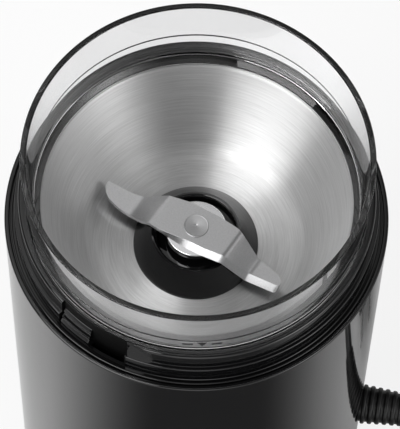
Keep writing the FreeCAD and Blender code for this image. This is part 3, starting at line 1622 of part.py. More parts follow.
# Cord: a short lead from the boot to the table, a coil of two layers and a tail to the plug
def make_cord():
    radius = s.cord_radius.number
    centre = FreeCAD.Vector(s.coil_centre_x.number, s.coil_centre_y.number, 0)
    turns = s.coil_turns.number
    first_angle = math.radians(s.coil_start.number)

    def place(turn):
        wound = min(turn, turns - turn)
        ring = s.coil_outer_radius.number - s.coil_pitch.number * wound
        climb = min(max((turn - turns / 2 + 0.25) / 0.5, 0.0), 1.0)
        height = s.coil_height.number + s.coil_layer.number * climb * climb * (3 - 2 * climb)
        angle = first_angle + 2 * math.pi * turn
        return centre + FreeCAD.Vector(ring * math.cos(angle), ring * math.sin(angle), height)

    def heading(turn):
        step = 0.004
        if abs(turn - turns / 2) < step:
            angle = first_angle + 2 * math.pi * turn
            return FreeCAD.Vector(-math.sin(angle), math.cos(angle), 0.03).normalize()
        low = max(turn - step, 0.0)
        high = min(turn + step, turns)
        return (place(high) - place(low)).normalize()

    steps = 29
    samples = [turns * index / steps for index in range(steps + 1)]
    points = [place(turn) for turn in samples]
    tangents = [heading(turn) for turn in samples]
    tangents[0].z = 0.0
    tangents[0].normalize()
    tangents[-1].z = 0.0
    tangents[-1].normalize()
    end_length = 2 * radius
    start = points[0] - tangents[0] * end_length
    end = points[-1] + tangents[-1] * end_length
    edges = [Part.LineSegment(start, points[0]).toShape()]
    for index in range(steps):
        edges += biarc(points[index], tangents[index], points[index + 1], tangents[index + 1])
    edges.append(Part.LineSegment(points[-1], end).toShape())
    coil = tube(edges, start, tangents[0], radius)
    solid_piece("cord_coil", coil)
    length = sum(edge.Length for edge in edges)
    print(f"coil: length {length:.1f}, volume {coil.Volume:.1f} against {math.pi * radius ** 2 * length:.1f}")
    print(f"coil: least gap to itself {least_gap(edges, radius):.2f}")

    height = s.cord_height.number
    table = s.coil_height.number
    mouth = s.boot_bore_start.number + 0.2
    lead = [
        FreeCAD.Vector(mouth, 0, height),
        FreeCAD.Vector(mouth + s.lead_straight.number, 0, height),
        start - tangents[0] * s.lead_run_in.number,
        start,
    ]
    lead[2].z = table
    lead_tube = bent_tube(lead, radius)
    solid_piece("cord_lead", lead_tube)
    report_bends("cord_lead", lead, lead_tube, radius)

    plug_height = s.plug_height.number
    tail = [
        end,
        end + tangents[-1] * 12,
        end + FreeCAD.Vector(-30, -3.5, plug_height - end.z),
        end + FreeCAD.Vector(-48, -6.8, plug_height - end.z),
    ]
    tail_tube = bent_tube(tail, radius)
    solid_piece("cord_tail", tail_tube)
    report_bends("cord_tail", tail, tail_tube, radius)
    make_cord_tie(centre)
    make_plug(tail[-1], tail[-1] - tail[-2])


def least_gap(edges, radius):
    """The least gap between the tube's own turns, measured on points along its middle line."""
    points = []
    travelled = []
    total = 0.0
    for edge in edges:
        count = max(int(edge.Length / 1.5), 2)
        for point in edge.discretize(count):
            if points:
                total += (point - points[-1]).Length
            points.append(point)
            travelled.append(total)
    least = 1e9
    for index, point in enumerate(points):
        for other in range(index + 1, len(points)):
            if travelled[other] - travelled[index] > 12 * radius:
                least = min(least, (points[other] - point).Length)
    return least - 2 * radius


# Tie round the coil's turns
def make_cord_tie(centre):
    body = new_body("cord_tie")
    body.Placement.Base = centre
    bind(body, "Placement.Rotation.Angle", 45)
    inner = s.coil_outer_radius - s.coil_pitch * s.coil_turns / 2 - s.cord_radius - 0.5
    outer = s.coil_outer_radius + s.cord_radius + 0.5
    low = s.coil_height - s.cord_radius - 0.1
    high = s.coil_height + s.coil_layer + s.cord_radius + 0.3
    wall = s.tie_thickness
    strap = sketch_on(body, "XZ_Plane", out=-(s.tie_width / 2))
    rectangle(strap, inner - wall, low - wall, outer + wall, high + wall)
    rectangle(strap, inner, low, outer, high)
    padded(body, strap, s.tie_width)


# Plug: a moulded body with a short boot, and two flat blades
def make_plug(start, direction):
    turn = math.degrees(math.atan2(direction.y, direction.x))

    def plug_body(name):
        body = new_body(name)
        body.Placement = FreeCAD.Placement(start, FreeCAD.Rotation(FreeCAD.Vector(0, 0, 1), turn))
        return body

    shell = plug_body("plug_body")
    boot = sketch_on(shell, "YZ_Plane")
    circle(boot, s.cord_radius + 1.4)
    padded(shell, boot, s.plug_neck_length)
    grip = sketch_on(shell, "YZ_Plane", out=s.plug_neck_length - 1)
    rounded_rectangle(grip, s.plug_width / 2, s.plug_thickness / 2, 4)
    padded(shell, grip, s.plug_length)

    blades = plug_body("plug_blades")
    for side in (-1, 1):
        blade = sketch_on(blades, "YZ_Plane", out=s.plug_length + s.plug_neck_length - 1)
        across = side * s.plug_blade_gap / 2
        half = s.plug_blade_thickness / 2
        rectangle(blade, across - half, -(s.plug_blade_width / 2), across + half, s.plug_blade_width / 2)
        padded(blades, blade, s.plug_blade_length)


# Inner leads from the boot's tail to the switch and the brush gear
def make_inner_leads():
    start = boot_inner_end.number
    height = s.cord_height.number
    brush = s.brush_height.number
    cap = s.holder_end.number + 1.2
    terminal = FreeCAD.Vector(s.case_inner.number + s.case_thickness.number / 2, 8.2, 0)
    terminal = turn_about_z(s.plunger_turn.number).multVec(terminal)
    terminal_end = s.case_bottom.number - s.terminal_length.number
    to_brush = bent_tube([
        FreeCAD.Vector(start, 2, height),
        FreeCAD.Vector(start - 4, 2, height),
        FreeCAD.Vector(25, 8, brush - 1.5),
        FreeCAD.Vector(17, 20, brush - 1.5),
        FreeCAD.Vector(8, cap + 1.5, brush - 0.5),
        FreeCAD.Vector(1.5, cap + 4.5, brush),
        FreeCAD.Vector(0, cap + 3, brush),
        FreeCAD.Vector(0, cap, brush),
    ], 0.9, 0.4)
    to_switch = bent_tube([
        FreeCAD.Vector(start, -2, height),
        FreeCAD.Vector(start - 4, -2, height),
        FreeCAD.Vector(29, -8, height + 1.5),
        FreeCAD.Vector(24, -27, height + 10),
        FreeCAD.Vector(8, -34.5, height + 24),
        FreeCAD.Vector(terminal.x, terminal.y, terminal_end - 6),
        FreeCAD.Vector(terminal.x, terminal.y, terminal_end),
    ], 0.9, 0.4)
    solid_piece("inner_leads", Part.makeCompound([to_brush, to_switch]))


make_outer_sleeve()
make_top_ring()
make_cup_well()
make_screws("ring_screws", s.ring_screw_turn, s.screw_circle, s.ring_screw_radius,
            flange_bottom, ring_screw_top,
            s.ring_screw_head, flange_bottom - s.ring_screw_head_height, flange_bottom)
make_base_cover()
make_screws("base_screws", s.column_turn, s.column_circle, s.base_screw_radius, base_top,
            s.column_bottom + s.base_screw_reach, s.base_screw_head, s.base_bottom + 0.4, base_top)
make_rubber_feet()
make_steel_bowl()
make_bowl_gasket()
make_clear_collar()
make_cup_base()
make_dome_seal()
make_cup_bearing()
make_blade()
make_blade_shaft()
make_blade_hub()
make_cup_coupling()
make_drive_coupling()
make_shaft_seal()
make_motor_shaft()
make_rotor_core()
make_rotor_windings()
make_commutator()
make_cooling_fan()
make_stator_core()
make_field_coils()
make_upper_bracket()
make_lower_bracket()
make_bearing("upper_bearing", boss_bottom + 1)
make_bearing("lower_bearing", s.lower_bracket_bottom + 1)
make_grommets()
make_motor_screws()
make_motor_bolts()
make_bolt_nuts()
make_brush_plate()
make_brush_gear()
make_capacitor()
make_interlock_plunger()
make_switch_bracket()
make_interlock_spring()
make_microswitch()
make_cord_boot()
make_cord_clamp()
make_cord()
make_inner_leads()

doc.recompute()
for item in doc.Objects:
    if "Invalid" in item.State or "Error" in item.State:
        raise RuntimeError(f"{item.Label} failed: {item.State}")
for piece in pieces:
    if piece.Shape.isNull() or not piece.Shape.isValid():
        raise RuntimeError(f"{piece.Label} has no valid shape")

os.makedirs("parts", exist_ok=True)
for piece in pieces:
    piece.Shape.exportStep(f"parts/{piece.Label}.step")
print(f"{len(pieces)} pieces written")
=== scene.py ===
import json
import math

import bmesh
import bpy
from mathutils import Matrix, Vector


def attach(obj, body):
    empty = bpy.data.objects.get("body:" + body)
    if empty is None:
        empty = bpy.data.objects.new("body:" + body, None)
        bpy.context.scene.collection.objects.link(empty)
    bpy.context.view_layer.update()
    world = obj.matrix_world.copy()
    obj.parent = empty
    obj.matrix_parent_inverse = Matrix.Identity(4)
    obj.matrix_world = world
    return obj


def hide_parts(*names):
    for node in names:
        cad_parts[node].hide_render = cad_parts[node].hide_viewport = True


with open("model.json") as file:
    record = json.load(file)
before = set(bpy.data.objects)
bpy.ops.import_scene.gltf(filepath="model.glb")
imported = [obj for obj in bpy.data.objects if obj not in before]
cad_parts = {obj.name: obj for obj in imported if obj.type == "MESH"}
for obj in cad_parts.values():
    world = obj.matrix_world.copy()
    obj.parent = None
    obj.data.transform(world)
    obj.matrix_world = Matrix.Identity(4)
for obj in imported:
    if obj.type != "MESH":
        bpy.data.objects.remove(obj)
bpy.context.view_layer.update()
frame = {"nodes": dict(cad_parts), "record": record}
mm = 0.001
fullTurn = 2 * math.pi
scene = bpy.context.scene
finishes = {}  # material by name, filled further down


# Camera, solved on the rings of the photograph
shot = {"aim": 152, "distance": 973.649, "azimuth": -83.4, "elevation": 63.714,
        "yaw": 9.4453e-4, "pitch": -1.40786e-4, "roll": -3.00871e-2, "lens": 302.1, "sensor": 36}


def placeCamera():
    azimuth = math.radians(shot["azimuth"])
    elevation = math.radians(shot["elevation"])
    away = Vector((math.cos(azimuth) * math.cos(elevation), math.sin(azimuth) * math.cos(elevation),
                   math.sin(elevation)))
    right = Vector((-math.sin(azimuth), math.cos(azimuth), 0))
    up = right.cross(-away)
    facing = Matrix((right, up, -away))
    small = (Matrix.Rotation(shot["roll"], 3, "Z") @ Matrix.Rotation(shot["pitch"], 3, "X")
             @ Matrix.Rotation(-shot["yaw"], 3, "Y"))
    rows = small @ facing
    lens = bpy.data.cameras.new("camera")
    lens.sensor_width = shot["sensor"]
    lens.lens = shot["lens"]
    camera = bpy.data.objects.new("camera", lens)
    scene.collection.objects.link(camera)
    turned = Matrix((rows[0], rows[1], -rows[2])).transposed()
    spot = Vector((0, 0, shot["aim"] * mm)) + away * shot["distance"] * mm
    camera.matrix_world = Matrix.Translation(spot) @ turned.to_4x4()
    scene.camera = camera


placeCamera()
scene.view_settings.view_transform = "Standard"
print("camera placed")


# Cord: the route's points in millimetres, as in the source, and the coil's turns between them
cordShape = {"radius": 3.0,
             "lead": [(58.2, 0, 39.7), (97, 0, 39.7), (132.66, -13.71, 4), (159.19, -27.71, 4)],
             "tail": [(179.0, 46.23, 10.5), (167.01, 46.69, 10.5), (149.0, 42.73, 7.4), (131.0, 39.43, 7.4)],
             "coilCentre": (185, 5), "coilStart": -120, "ring": 41.0, "pitch": 6.6, "table": 4.0,
             "layer": 6.5, "climbTurns": 0.5, "turns": 3.5833, "pointsPerTurn": 16}


def drawCord():
    route = list(cordShape["lead"])
    perTurn = cordShape["pointsPerTurn"]
    count = int(cordShape["turns"] * perTurn)
    stretch = 1 / math.cos(math.pi / perTurn)  # so that the smooth line keeps the ring's size
    for index in range(count + 1):
        turn = index / perTurn
        ring = stretch * (cordShape["ring"] - cordShape["pitch"] * min(turn, cordShape["turns"] - turn))
        climb = min(max((turn - cordShape["turns"] / 2) / cordShape["climbTurns"] + 0.5, 0), 1)
        height = cordShape["table"] + cordShape["layer"] * climb * climb * (3 - 2 * climb)
        angle = fullTurn * turn + math.radians(cordShape["coilStart"])
        route.append((cordShape["coilCentre"][0] + ring * math.cos(angle),
                      cordShape["coilCentre"][1] + ring * math.sin(angle), height))
    route += cordShape["tail"]
    curve = bpy.data.curves.new("cord", "CURVE")
    curve.dimensions = "3D"
    curve.bevel_depth = cordShape["radius"] * mm
    curve.bevel_resolution = 5
    curve.resolution_u = 6
    curve.use_fill_caps = True
    line = curve.splines.new("NURBS")
    line.points.add(len(route) - 1)
    for point, place in zip(line.points, route):
        point.co = (place[0] * mm, place[1] * mm, place[2] * mm, 1)
    line.order_u = 3
    line.use_endpoint_u = True
    cord = bpy.data.objects.new("cord", curve)
    scene.collection.objects.link(cord)
    return cord


def centreLine(cord):
    # The points of the cord's own smooth line, read from the curve with no bevel
    bare = cord.data.copy()
    bare.bevel_depth = 0
    holder = bpy.data.objects.new("bareLine", bare)
    mesh = bpy.data.meshes.new_from_object(holder)
    points = [vertex.co.copy() for vertex in mesh.vertices]
    bpy.data.objects.remove(holder)
    bpy.data.meshes.remove(mesh)
    bpy.data.curves.remove(bare)
    return points


cord = drawCord()
cordLine = centreLine(cord)
print("cord drawn, points on its line:", len(cordLine))


# Mesh helpers: outlines are (across, up) or (across, up, rounding) in millimetres
def drawOutline(bm, corners, closed=True, segments=4, place=None):
    place = place or (lambda across, up: (across * mm, 0, up * mm))
    points = [bm.verts.new(place(corner[0], corner[1])) for corner in corners]
    following = points[1:] + points[:1] if closed else points[1:]
    for start, end in zip(points, following):
        bm.edges.new((start, end))
    for point, corner in zip(points, corners):
        if len(corner) > 2 and corner[2] > 0:
            bmesh.ops.bevel(bm, geom=[point], offset=corner[2] * mm, segments=segments, profile=0.5,
                            affect="VERTICES", material=-1)


def spinRound(bm, steps, axis=(0, 0, 1), turn=fullTurn, centre=(0, 0, 0)):
    whole = turn == fullTurn
    bmesh.ops.spin(bm, geom=bm.verts[:] + bm.edges[:] + bm.faces[:], cent=centre, axis=axis, angle=turn,
                   steps=steps, use_merge=whole)
    tidyMesh(bm)


def tidyMesh(bm):
    bmesh.ops.remove_doubles(bm, verts=bm.verts, dist=2e-6)
    bmesh.ops.dissolve_degenerate(bm, edges=bm.edges, dist=1e-7)
    bmesh.ops.recalc_face_normals(bm, faces=bm.faces)


def softenNormals(mesh, crease):
    bm = bmesh.new()
    bm.from_mesh(mesh)
    for face in bm.faces:
        face.smooth = True
    for edge in bm.edges:
        edge.smooth = len(edge.link_faces) == 2 and edge.calc_face_angle(0) < math.radians(crease)
    bm.to_mesh(mesh)
    bm.free()


def toObject(name, bm):
    mesh = bpy.data.meshes.new(name)
    bm.to_mesh(mesh)
    bm.free()
    piece = bpy.data.objects.new(name, mesh)
    scene.collection.objects.link(piece)
    return piece


def cutAway(piece, cutters):
    for cutter in cutters:
        cut = piece.modifiers.new("cut", "BOOLEAN")
        cut.operation = "DIFFERENCE"
        cut.solver = "EXACT"
        cut.object = cutter
    bpy.context.view_layer.update()
    ready = piece.evaluated_get(bpy.context.evaluated_depsgraph_get())
    mesh = bpy.data.meshes.new_from_object(ready)
    piece.modifiers.clear()
    piece.data = mesh
    for cutter in cutters:
        bpy.data.objects.remove(cutter)


def finishPiece(piece, body, finish, replaced=(), crease=32, weighted=True):
    softenNormals(piece.data, crease)
    piece.data.materials.clear()
    piece.data.materials.append(finishes[finish])
    if weighted:
        normals = piece.modifiers.new("normals", "WEIGHTED_NORMAL")
        normals.keep_sharp = True
    if replaced:
        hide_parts(*replaced)
    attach(piece, body)
    return piece


def turnedPiece(name, corners, steps=240, segments=4, closed=True):
    bm = bmesh.new()
    drawOutline(bm, corners, closed, segments)
    spinRound(bm, steps)
    return toObject(name, bm)


def boxOutline(inner, outer, low, high):
    return [(inner, low), (outer, low), (outer, high), (inner, high)]


def sectorBlock(name, corners, start, end, steps=24):
    # A block turned from one angle to another, in millimetres and degrees
    bm = bmesh.new()
    first = math.radians(start)
    place = lambda across, up: (across * math.cos(first) * mm, across * math.sin(first) * mm, up * mm)
    drawOutline(bm, corners, place=place)
    bmesh.ops.contextual_create(bm, geom=bm.edges[:])
    spinRound(bm, steps, turn=math.radians(end - start))
    return toObject(name, bm)


def roundRod(name, radius, start, end, axis="Z", centre=(0, 0)):
    # A rod along Z or X from start to end, in millimetres
    bm = bmesh.new()
    bmesh.ops.create_cone(bm, cap_ends=True, segments=48, radius1=radius * mm, radius2=radius * mm,
                          depth=(end - start) * mm)
    middle = (start + end) / 2 * mm
    if axis == "X":
        bmesh.ops.rotate(bm, verts=bm.verts, cent=(0, 0, 0), matrix=Matrix.Rotation(math.pi / 2, 3, "Y"))
        bmesh.ops.translate(bm, verts=bm.verts, vec=(middle, centre[0] * mm, centre[1] * mm))
    else:
        bmesh.ops.translate(bm, verts=bm.verts, vec=(centre[0] * mm, centre[1] * mm, middle))
    return toObject(name, bm)


# Node helpers
def addNode(tree, kind, values=None, **settings):
    node = tree.nodes.new(kind)
    for key, value in settings.items():
        setattr(node, key, value)
    for key, value in (values or {}).items():
        node.inputs[key].default_value = value
    return node


def link(tree, source, output, target, entry):
    tree.links.new(source.outputs[output], target.inputs[entry])


def newGroup(name, entries, exits):
    tree = bpy.data.node_groups.new(name, "ShaderNodeTree")
    for label, kind, value in entries:
        socket = tree.interface.new_socket(label, in_out="INPUT", socket_type="NodeSocket" + kind)
        socket.default_value = value
    for label, kind in exits:
        tree.interface.new_socket(label, in_out="OUTPUT", socket_type="NodeSocket" + kind)
    return tree, tree.nodes.new("NodeGroupInput"), tree.nodes.new("NodeGroupOutput")


def spreadAround(tree, noise, base, amount, entryNode):
    # base + amount * (2 * noise - 1), with base and amount taken from the group's inputs
    centred = addNode(tree, "ShaderNodeMath", {1: 2.0, 2: -1.0}, operation="MULTIPLY_ADD")
    link(tree, noise, 0, centred, 0)
    result = addNode(tree, "ShaderNodeMath", operation="MULTIPLY_ADD")
    link(tree, centred, 0, result, 0)
    link(tree, entryNode, amount, result, 1)
    if isinstance(base, str):
        link(tree, entryNode, base, result, 2)
    else:
        result.inputs[2].default_value = base
    return result


def toneColour(tree, factor, entryNode, exitNode):
    shaded = addNode(tree, "ShaderNodeVectorMath", operation="SCALE")
    link(tree, entryNode, "Colour", shaded, 0)
    tree.links.new(factor.outputs[0], shaded.inputs["Scale"])
    link(tree, shaded, 0, exitNode, "Colour")


commonEntries = [("Colour", "Color", (0.5, 0.5, 0.5, 1)), ("Tone", "Float", 0.1),
                 ("Roughness", "Float", 0.4), ("Spread", "Float", 0.05)]
commonExits = [("Colour", "Color"), ("Roughness", "Float"), ("Height", "Float")]


def buildMouldSkin():
    tree, entry, leave = newGroup("mouldSkin", commonEntries + [("Grain", "Float", 2500.0)], commonExits)
    place = addNode(tree, "ShaderNodeTexCoord")
    wide = addNode(tree, "ShaderNodeTexNoise", {"Scale": 55.0, "Detail": 3.0})
    smudge = addNode(tree, "ShaderNodeTexNoise", {"Scale": 190.0, "Detail": 5.0, "Roughness": 0.62})
    grain = addNode(tree, "ShaderNodeTexNoise", {"Detail": 2.0})
    for noise in (wide, smudge, grain):
        link(tree, place, "Object", noise, "Vector")
    link(tree, entry, "Grain", grain, "Scale")
    toneColour(tree, spreadAround(tree, wide, 1.0, "Tone", entry), entry, leave)
    link(tree, spreadAround(tree, smudge, "Roughness", "Spread", entry), 0, leave, "Roughness")
    link(tree, grain, 0, leave, "Height")
    return tree


def buildTurnedGrain():
    # Fine rings round Z, as a lathe or a brush leaves them on a spun sheet
    tree, entry, leave = newGroup("turnedGrain", commonEntries + [("Rings", "Float", 3000.0),
                                  ("Streak", "Float", 3.0)], commonExits)
    place = addNode(tree, "ShaderNodeTexCoord")
    flat = addNode(tree, "ShaderNodeVectorMath", {1: (1, 1, 0)}, operation="MULTIPLY")
    link(tree, place, "Object", flat, 0)
    radius = addNode(tree, "ShaderNodeVectorMath", operation="LENGTH")
    link(tree, flat, 0, radius, 0)
    heading = addNode(tree, "ShaderNodeVectorMath", operation="NORMALIZE")
    link(tree, flat, 0, heading, 0)
    along = addNode(tree, "ShaderNodeVectorMath", operation="SCALE")
    link(tree, heading, 0, along, 0)
    tree.links.new(entry.outputs["Streak"], along.inputs["Scale"])
    parts = addNode(tree, "ShaderNodeSeparateXYZ")
    link(tree, along, 0, parts, 0)
    heights = addNode(tree, "ShaderNodeSeparateXYZ")
    link(tree, place, "Object", heights, 0)
    travelled = addNode(tree, "ShaderNodeMath", operation="ADD")
    link(tree, radius, "Value", travelled, 0)
    link(tree, heights, "Z", travelled, 1)
    scaled = addNode(tree, "ShaderNodeMath", operation="MULTIPLY")
    link(tree, travelled, 0, scaled, 0)
    link(tree, entry, "Rings", scaled, 1)
    woven = addNode(tree, "ShaderNodeCombineXYZ")
    link(tree, scaled, 0, woven, "X")
    link(tree, parts, "X", woven, "Y")
    link(tree, parts, "Y", woven, "Z")
    fine = addNode(tree, "ShaderNodeTexNoise", {"Scale": 1.0, "Detail": 3.0, "Roughness": 0.7})
    link(tree, woven, 0, fine, "Vector")
    wide = addNode(tree, "ShaderNodeTexNoise", {"Scale": 0.22, "Detail": 2.0})
    link(tree, woven, 0, wide, "Vector")
    toneColour(tree, spreadAround(tree, fine, 1.0, "Tone", entry), entry, leave)
    link(tree, spreadAround(tree, wide, "Roughness", "Spread", entry), 0, leave, "Roughness")
    link(tree, fine, 0, leave, "Height")
    return tree


def buildRolledGrain():
    # Straight fine lines, as on rolled sheet or a drawn bar; Stretch squeezes the noise along each axis
    tree, entry, leave = newGroup("rolledGrain", commonEntries + [("Stretch", "Vector", (300, 3000, 3000))],
                                  commonExits)
    place = addNode(tree, "ShaderNodeTexCoord")
    stretched = addNode(tree, "ShaderNodeVectorMath", operation="MULTIPLY")
    link(tree, place, "Object", stretched, 0)
    link(tree, entry, "Stretch", stretched, 1)
    fine = addNode(tree, "ShaderNodeTexNoise", {"Scale": 1.0, "Detail": 4.0, "Roughness": 0.65})
    link(tree, stretched, 0, fine, "Vector")
    wide = addNode(tree, "ShaderNodeTexNoise", {"Scale": 120.0, "Detail": 3.0})
    link(tree, place, "Object", wide, "Vector")
    toneColour(tree, spreadAround(tree, fine, 1.0, "Tone", entry), entry, leave)
    link(tree, spreadAround(tree, wide, "Roughness", "Spread", entry), 0, leave, "Roughness")
    link(tree, fine, 0, leave, "Height")
    return tree


def buildBands():
    # Layers or turns side by side: sheets in a core, wires in a winding
    tree, entry, leave = newGroup("bands", commonEntries + [("Direction", "Vector", (0, 0, 1)),
                                  ("Pitch", "Float", 0.0005)], commonExits)
    place = addNode(tree, "ShaderNodeTexCoord")
    along = addNode(tree, "ShaderNodeVectorMath", operation="DOT_PRODUCT")
    link(tree, place, "Object", along, 0)
    link(tree, entry, "Direction", along, 1)
    counted = addNode(tree, "ShaderNodeMath", operation="DIVIDE")
    link(tree, along, "Value", counted, 0)
    link(tree, entry, "Pitch", counted, 1)
    wave = addNode(tree, "ShaderNodeMath", operation="PINGPONG")
    wave.inputs[1].default_value = 0.5
    link(tree, counted, 0, wave, 0)
    crown = addNode(tree, "ShaderNodeMath", {1: 0.5}, operation="POWER")
    link(tree, wave, 0, crown, 0)
    wide = addNode(tree, "ShaderNodeTexNoise", {"Scale": 300.0, "Detail": 4.0})
    link(tree, place, "Object", wide, "Vector")
    toneColour(tree, spreadAround(tree, crown, 0.9, "Tone", entry), entry, leave)
    link(tree, spreadAround(tree, wide, "Roughness", "Spread", entry), 0, leave, "Roughness")
    link(tree, crown, 0, leave, "Height")
    return tree


groups = {"mouldSkin": buildMouldSkin(), "turnedGrain": buildTurnedGrain(),
          "rolledGrain": buildRolledGrain(), "bands": buildBands()}


def surface(name, group, look, bump, fixed=None):
    # A Principled surface: look goes to the group, fixed goes straight on the shader's sockets
    material = bpy.data.materials.new(name)
    material.use_nodes = True
    tree = material.node_tree
    shader = tree.nodes["Principled BSDF"]
    for key, value in (fixed or {}).items():
        shader.inputs[key].default_value = value
    skin = addNode(tree, "ShaderNodeGroup", node_tree=groups[group])
    for key, value in look.items():
        skin.inputs[key].default_value = value
    link(tree, skin, "Colour", shader, "Base Color")
    link(tree, skin, "Roughness", shader, "Roughness")
    relief = addNode(tree, "ShaderNodeBump", {"Strength": bump[0], "Distance": bump[1] * mm})
    link(tree, skin, "Height", relief, "Height")
    link(tree, relief, "Normal", shader, "Normal")
    finishes[name] = material
    return material


def grey(level, blue=1.0):
    return (level, level, level * blue, 1)


moulded = {  # name: colour, tone, roughness, spread, grains per metre, bump strength, bump depth in mm
    "black_gloss": (grey(0.003, 1.08), 0.15, 0.05, 0.015, 900, 0.015, 0.02),
    "black_satin": (grey(0.020, 1.05), 0.15, 0.42, 0.08, 3800, 0.25, 0.03),
    "grey_rubber": (grey(0.12), 0.15, 0.72, 0.08, 3000, 0.3, 0.04),
    "black_rubber": (grey(0.020), 0.2, 0.6, 0.1, 3000, 0.3, 0.03),
    "brown_moulding": ((0.12, 0.05, 0.03, 1), 0.2, 0.38, 0.06, 2600, 0.2, 0.03),
    "carbon": (grey(0.03), 0.25, 0.55, 0.1, 6000, 0.4, 0.02),
    "yellow_moulding": ((0.75, 0.6, 0.1, 1), 0.06, 0.25, 0.05, 1500, 0.1, 0.02),
    "lead_insulation": (grey(0.5), 0.08, 0.4, 0.06, 2500, 0.15, 0.02),
    "cord_black": (grey(0.015), 0.2, 0.36, 0.07, 2600, 0.25, 0.02),
    "grey_moulding": (grey(0.35), 0.08, 0.45, 0.07, 2600, 0.2, 0.03),
    "red_moulding": ((0.5, 0.05, 0.04, 1), 0.08, 0.35, 0.05, 2600, 0.15, 0.02),
    "print_black": (grey(0.012), 0.1, 0.5, 0.05, 4000, 0.1, 0.01),
}
for name, (colour, tone, rough, spread, grain, strength, depth) in moulded.items():
    surface(name, "mouldSkin", {"Colour": colour, "Tone": tone, "Roughness": rough, "Spread": spread,
                                "Grain": grain}, (strength, depth))

metal = {"Metallic": 1.0}
surface("screw_steel", "turnedGrain", {"Colour": grey(0.60, 1.02), "Tone": 0.1, "Roughness": 0.28,
        "Spread": 0.06, "Rings": 4000, "Streak": 20}, (0.08, 0.02), metal)
surface("cast_alloy", "mouldSkin", {"Colour": grey(0.62, 1.02), "Tone": 0.12, "Roughness": 0.42,
        "Spread": 0.1, "Grain": 1600}, (0.35, 0.06), metal)
surface("lamination", "bands", {"Colour": (0.30, 0.31, 0.33, 1), "Tone": 0.35, "Roughness": 0.45,
        "Spread": 0.1, "Pitch": 0.0005}, (0.5, 0.08), {"Metallic": 0.8})
surface("copper", "bands", {"Colour": (0.72, 0.32, 0.14, 1), "Tone": 0.3, "Roughness": 0.3, "Spread": 0.08,
        "Direction": (0.7, 0.7, 0.2), "Pitch": 0.0004}, (0.6, 0.12), metal)
surface("brass", "rolledGrain", {"Colour": (0.72, 0.55, 0.25, 1), "Tone": 0.08, "Roughness": 0.25,
        "Spread": 0.08, "Stretch": (2500, 2500, 500)}, (0.08, 0.02), metal)
surface("bronze", "mouldSkin", {"Colour": (0.55, 0.36, 0.16, 1), "Tone": 0.15, "Roughness": 0.45,
        "Spread": 0.08, "Grain": 6000}, (0.3, 0.02), metal)
surface("polished_steel", "turnedGrain", {"Colour": grey(0.72, 1.01), "Tone": 0.05, "Roughness": 0.13,
        "Spread": 0.05, "Rings": 5000, "Streak": 6}, (0.04, 0.01), metal)
surface("nickel_plate", "mouldSkin", {"Colour": grey(0.55), "Tone": 0.06, "Roughness": 0.24,
        "Spread": 0.06, "Grain": 2500}, (0.05, 0.01), metal)
# Painted shade: a blacker, duller finish for the slot's walls, in place of the shade in the recess
surface("pocket_painted_shade", "mouldSkin", {"Colour": grey(0.001), "Tone": 0.2, "Roughness": 0.5, "Spread": 0.06,
        "Grain": 3000}, (0.2, 0.02), {"Specular IOR Level": 0.05})
surface("boot_black", "mouldSkin", {"Colour": grey(0.005), "Tone": 0.2, "Roughness": 0.4, "Spread": 0.08,
        "Grain": 2600}, (0.25, 0.02), {"Specular IOR Level": 0.35})
surface("spun_steel", "turnedGrain", {"Colour": grey(0.42, 1.01), "Tone": 0.12, "Roughness": 0.34,
        "Spread": 0.05, "Rings": 5000, "Streak": 3}, (0.1, 0.02), metal)
surface("blade_steel", "rolledGrain", {"Colour": grey(0.45, 1.01), "Tone": 0.22, "Roughness": 0.33,
        "Spread": 0.06, "Stretch": (2400, 2400, 2400)}, (0.22, 0.03), metal)


def buildBrushedBowl():
    # The quarter turn spreads the highlights outwards, across the brushed rings
    material = surface("brushed_bowl", "turnedGrain", {"Colour": grey(0.62), "Tone": 0.3, "Roughness": 0.44,
                       "Spread": 0.05, "Rings": 2200, "Streak": 2.2}, (0.06, 0.02),
                       {"Metallic": 1.0, "Anisotropic": 1.0, "Anisotropic Rotation": 0.25})
    tree = material.node_tree
    shader = tree.nodes["Principled BSDF"]
    tangent = addNode(tree, "ShaderNodeTangent", direction_type="RADIAL", axis="Z")
    link(tree, tangent, 0, shader, "Tangent")


def buildClearPlastic():
    material = surface("smoke_clear", "mouldSkin",
                       {"Colour": grey(0.93, 1.005), "Tone": 0.01, "Roughness": 0.02, "Spread": 0.012,
                        "Grain": 500}, (0.01, 0.01), {"Transmission Weight": 1.0, "IOR": 1.49})
    tree = material.node_tree
    shader = tree.nodes["Principled BSDF"]
    output = tree.nodes["Material Output"]
    path = addNode(tree, "ShaderNodeLightPath")
    either = addNode(tree, "ShaderNodeMath", operation="MAXIMUM")
    link(tree, path, "Is Shadow Ray", either, 0)
    link(tree, path, "Is Diffuse Ray", either, 1)
    clear = addNode(tree, "ShaderNodeBsdfTransparent", {"Color": grey(0.8)})
    mixed = addNode(tree, "ShaderNodeMixShader")
    link(tree, either, 0, mixed, 0)
    tree.links.new(shader.outputs[0], mixed.inputs[1])
    tree.links.new(clear.outputs[0], mixed.inputs[2])
    link(tree, mixed, 0, output, "Surface")


buildBrushedBowl()
buildClearPlastic()
print("materials built:", len(finishes))


# Outer sleeve: gloss black shell with a rounded rim and the boot's hole
sleeve = {"profile": [(48.2, 4.0, 0.2), (50.6, 4.0, 0.5), (52.0, 152.0, 0.55), (50.6, 152.0, 0.35),
                      (50.6, 150.8), (49.6, 150.8)],
          "hole": 5.3, "holeHeight": 39.7}
outerSleeve = turnedPiece("outerSleeve", sleeve["profile"], 300, 5)
cutAway(outerSleeve, [roundRod("holeCutter", sleeve["hole"], 40, 60, "X", (0, sleeve["holeHeight"]))])
finishPiece(outerSleeve, "housing", "black_gloss", ["outer_sleeve"])

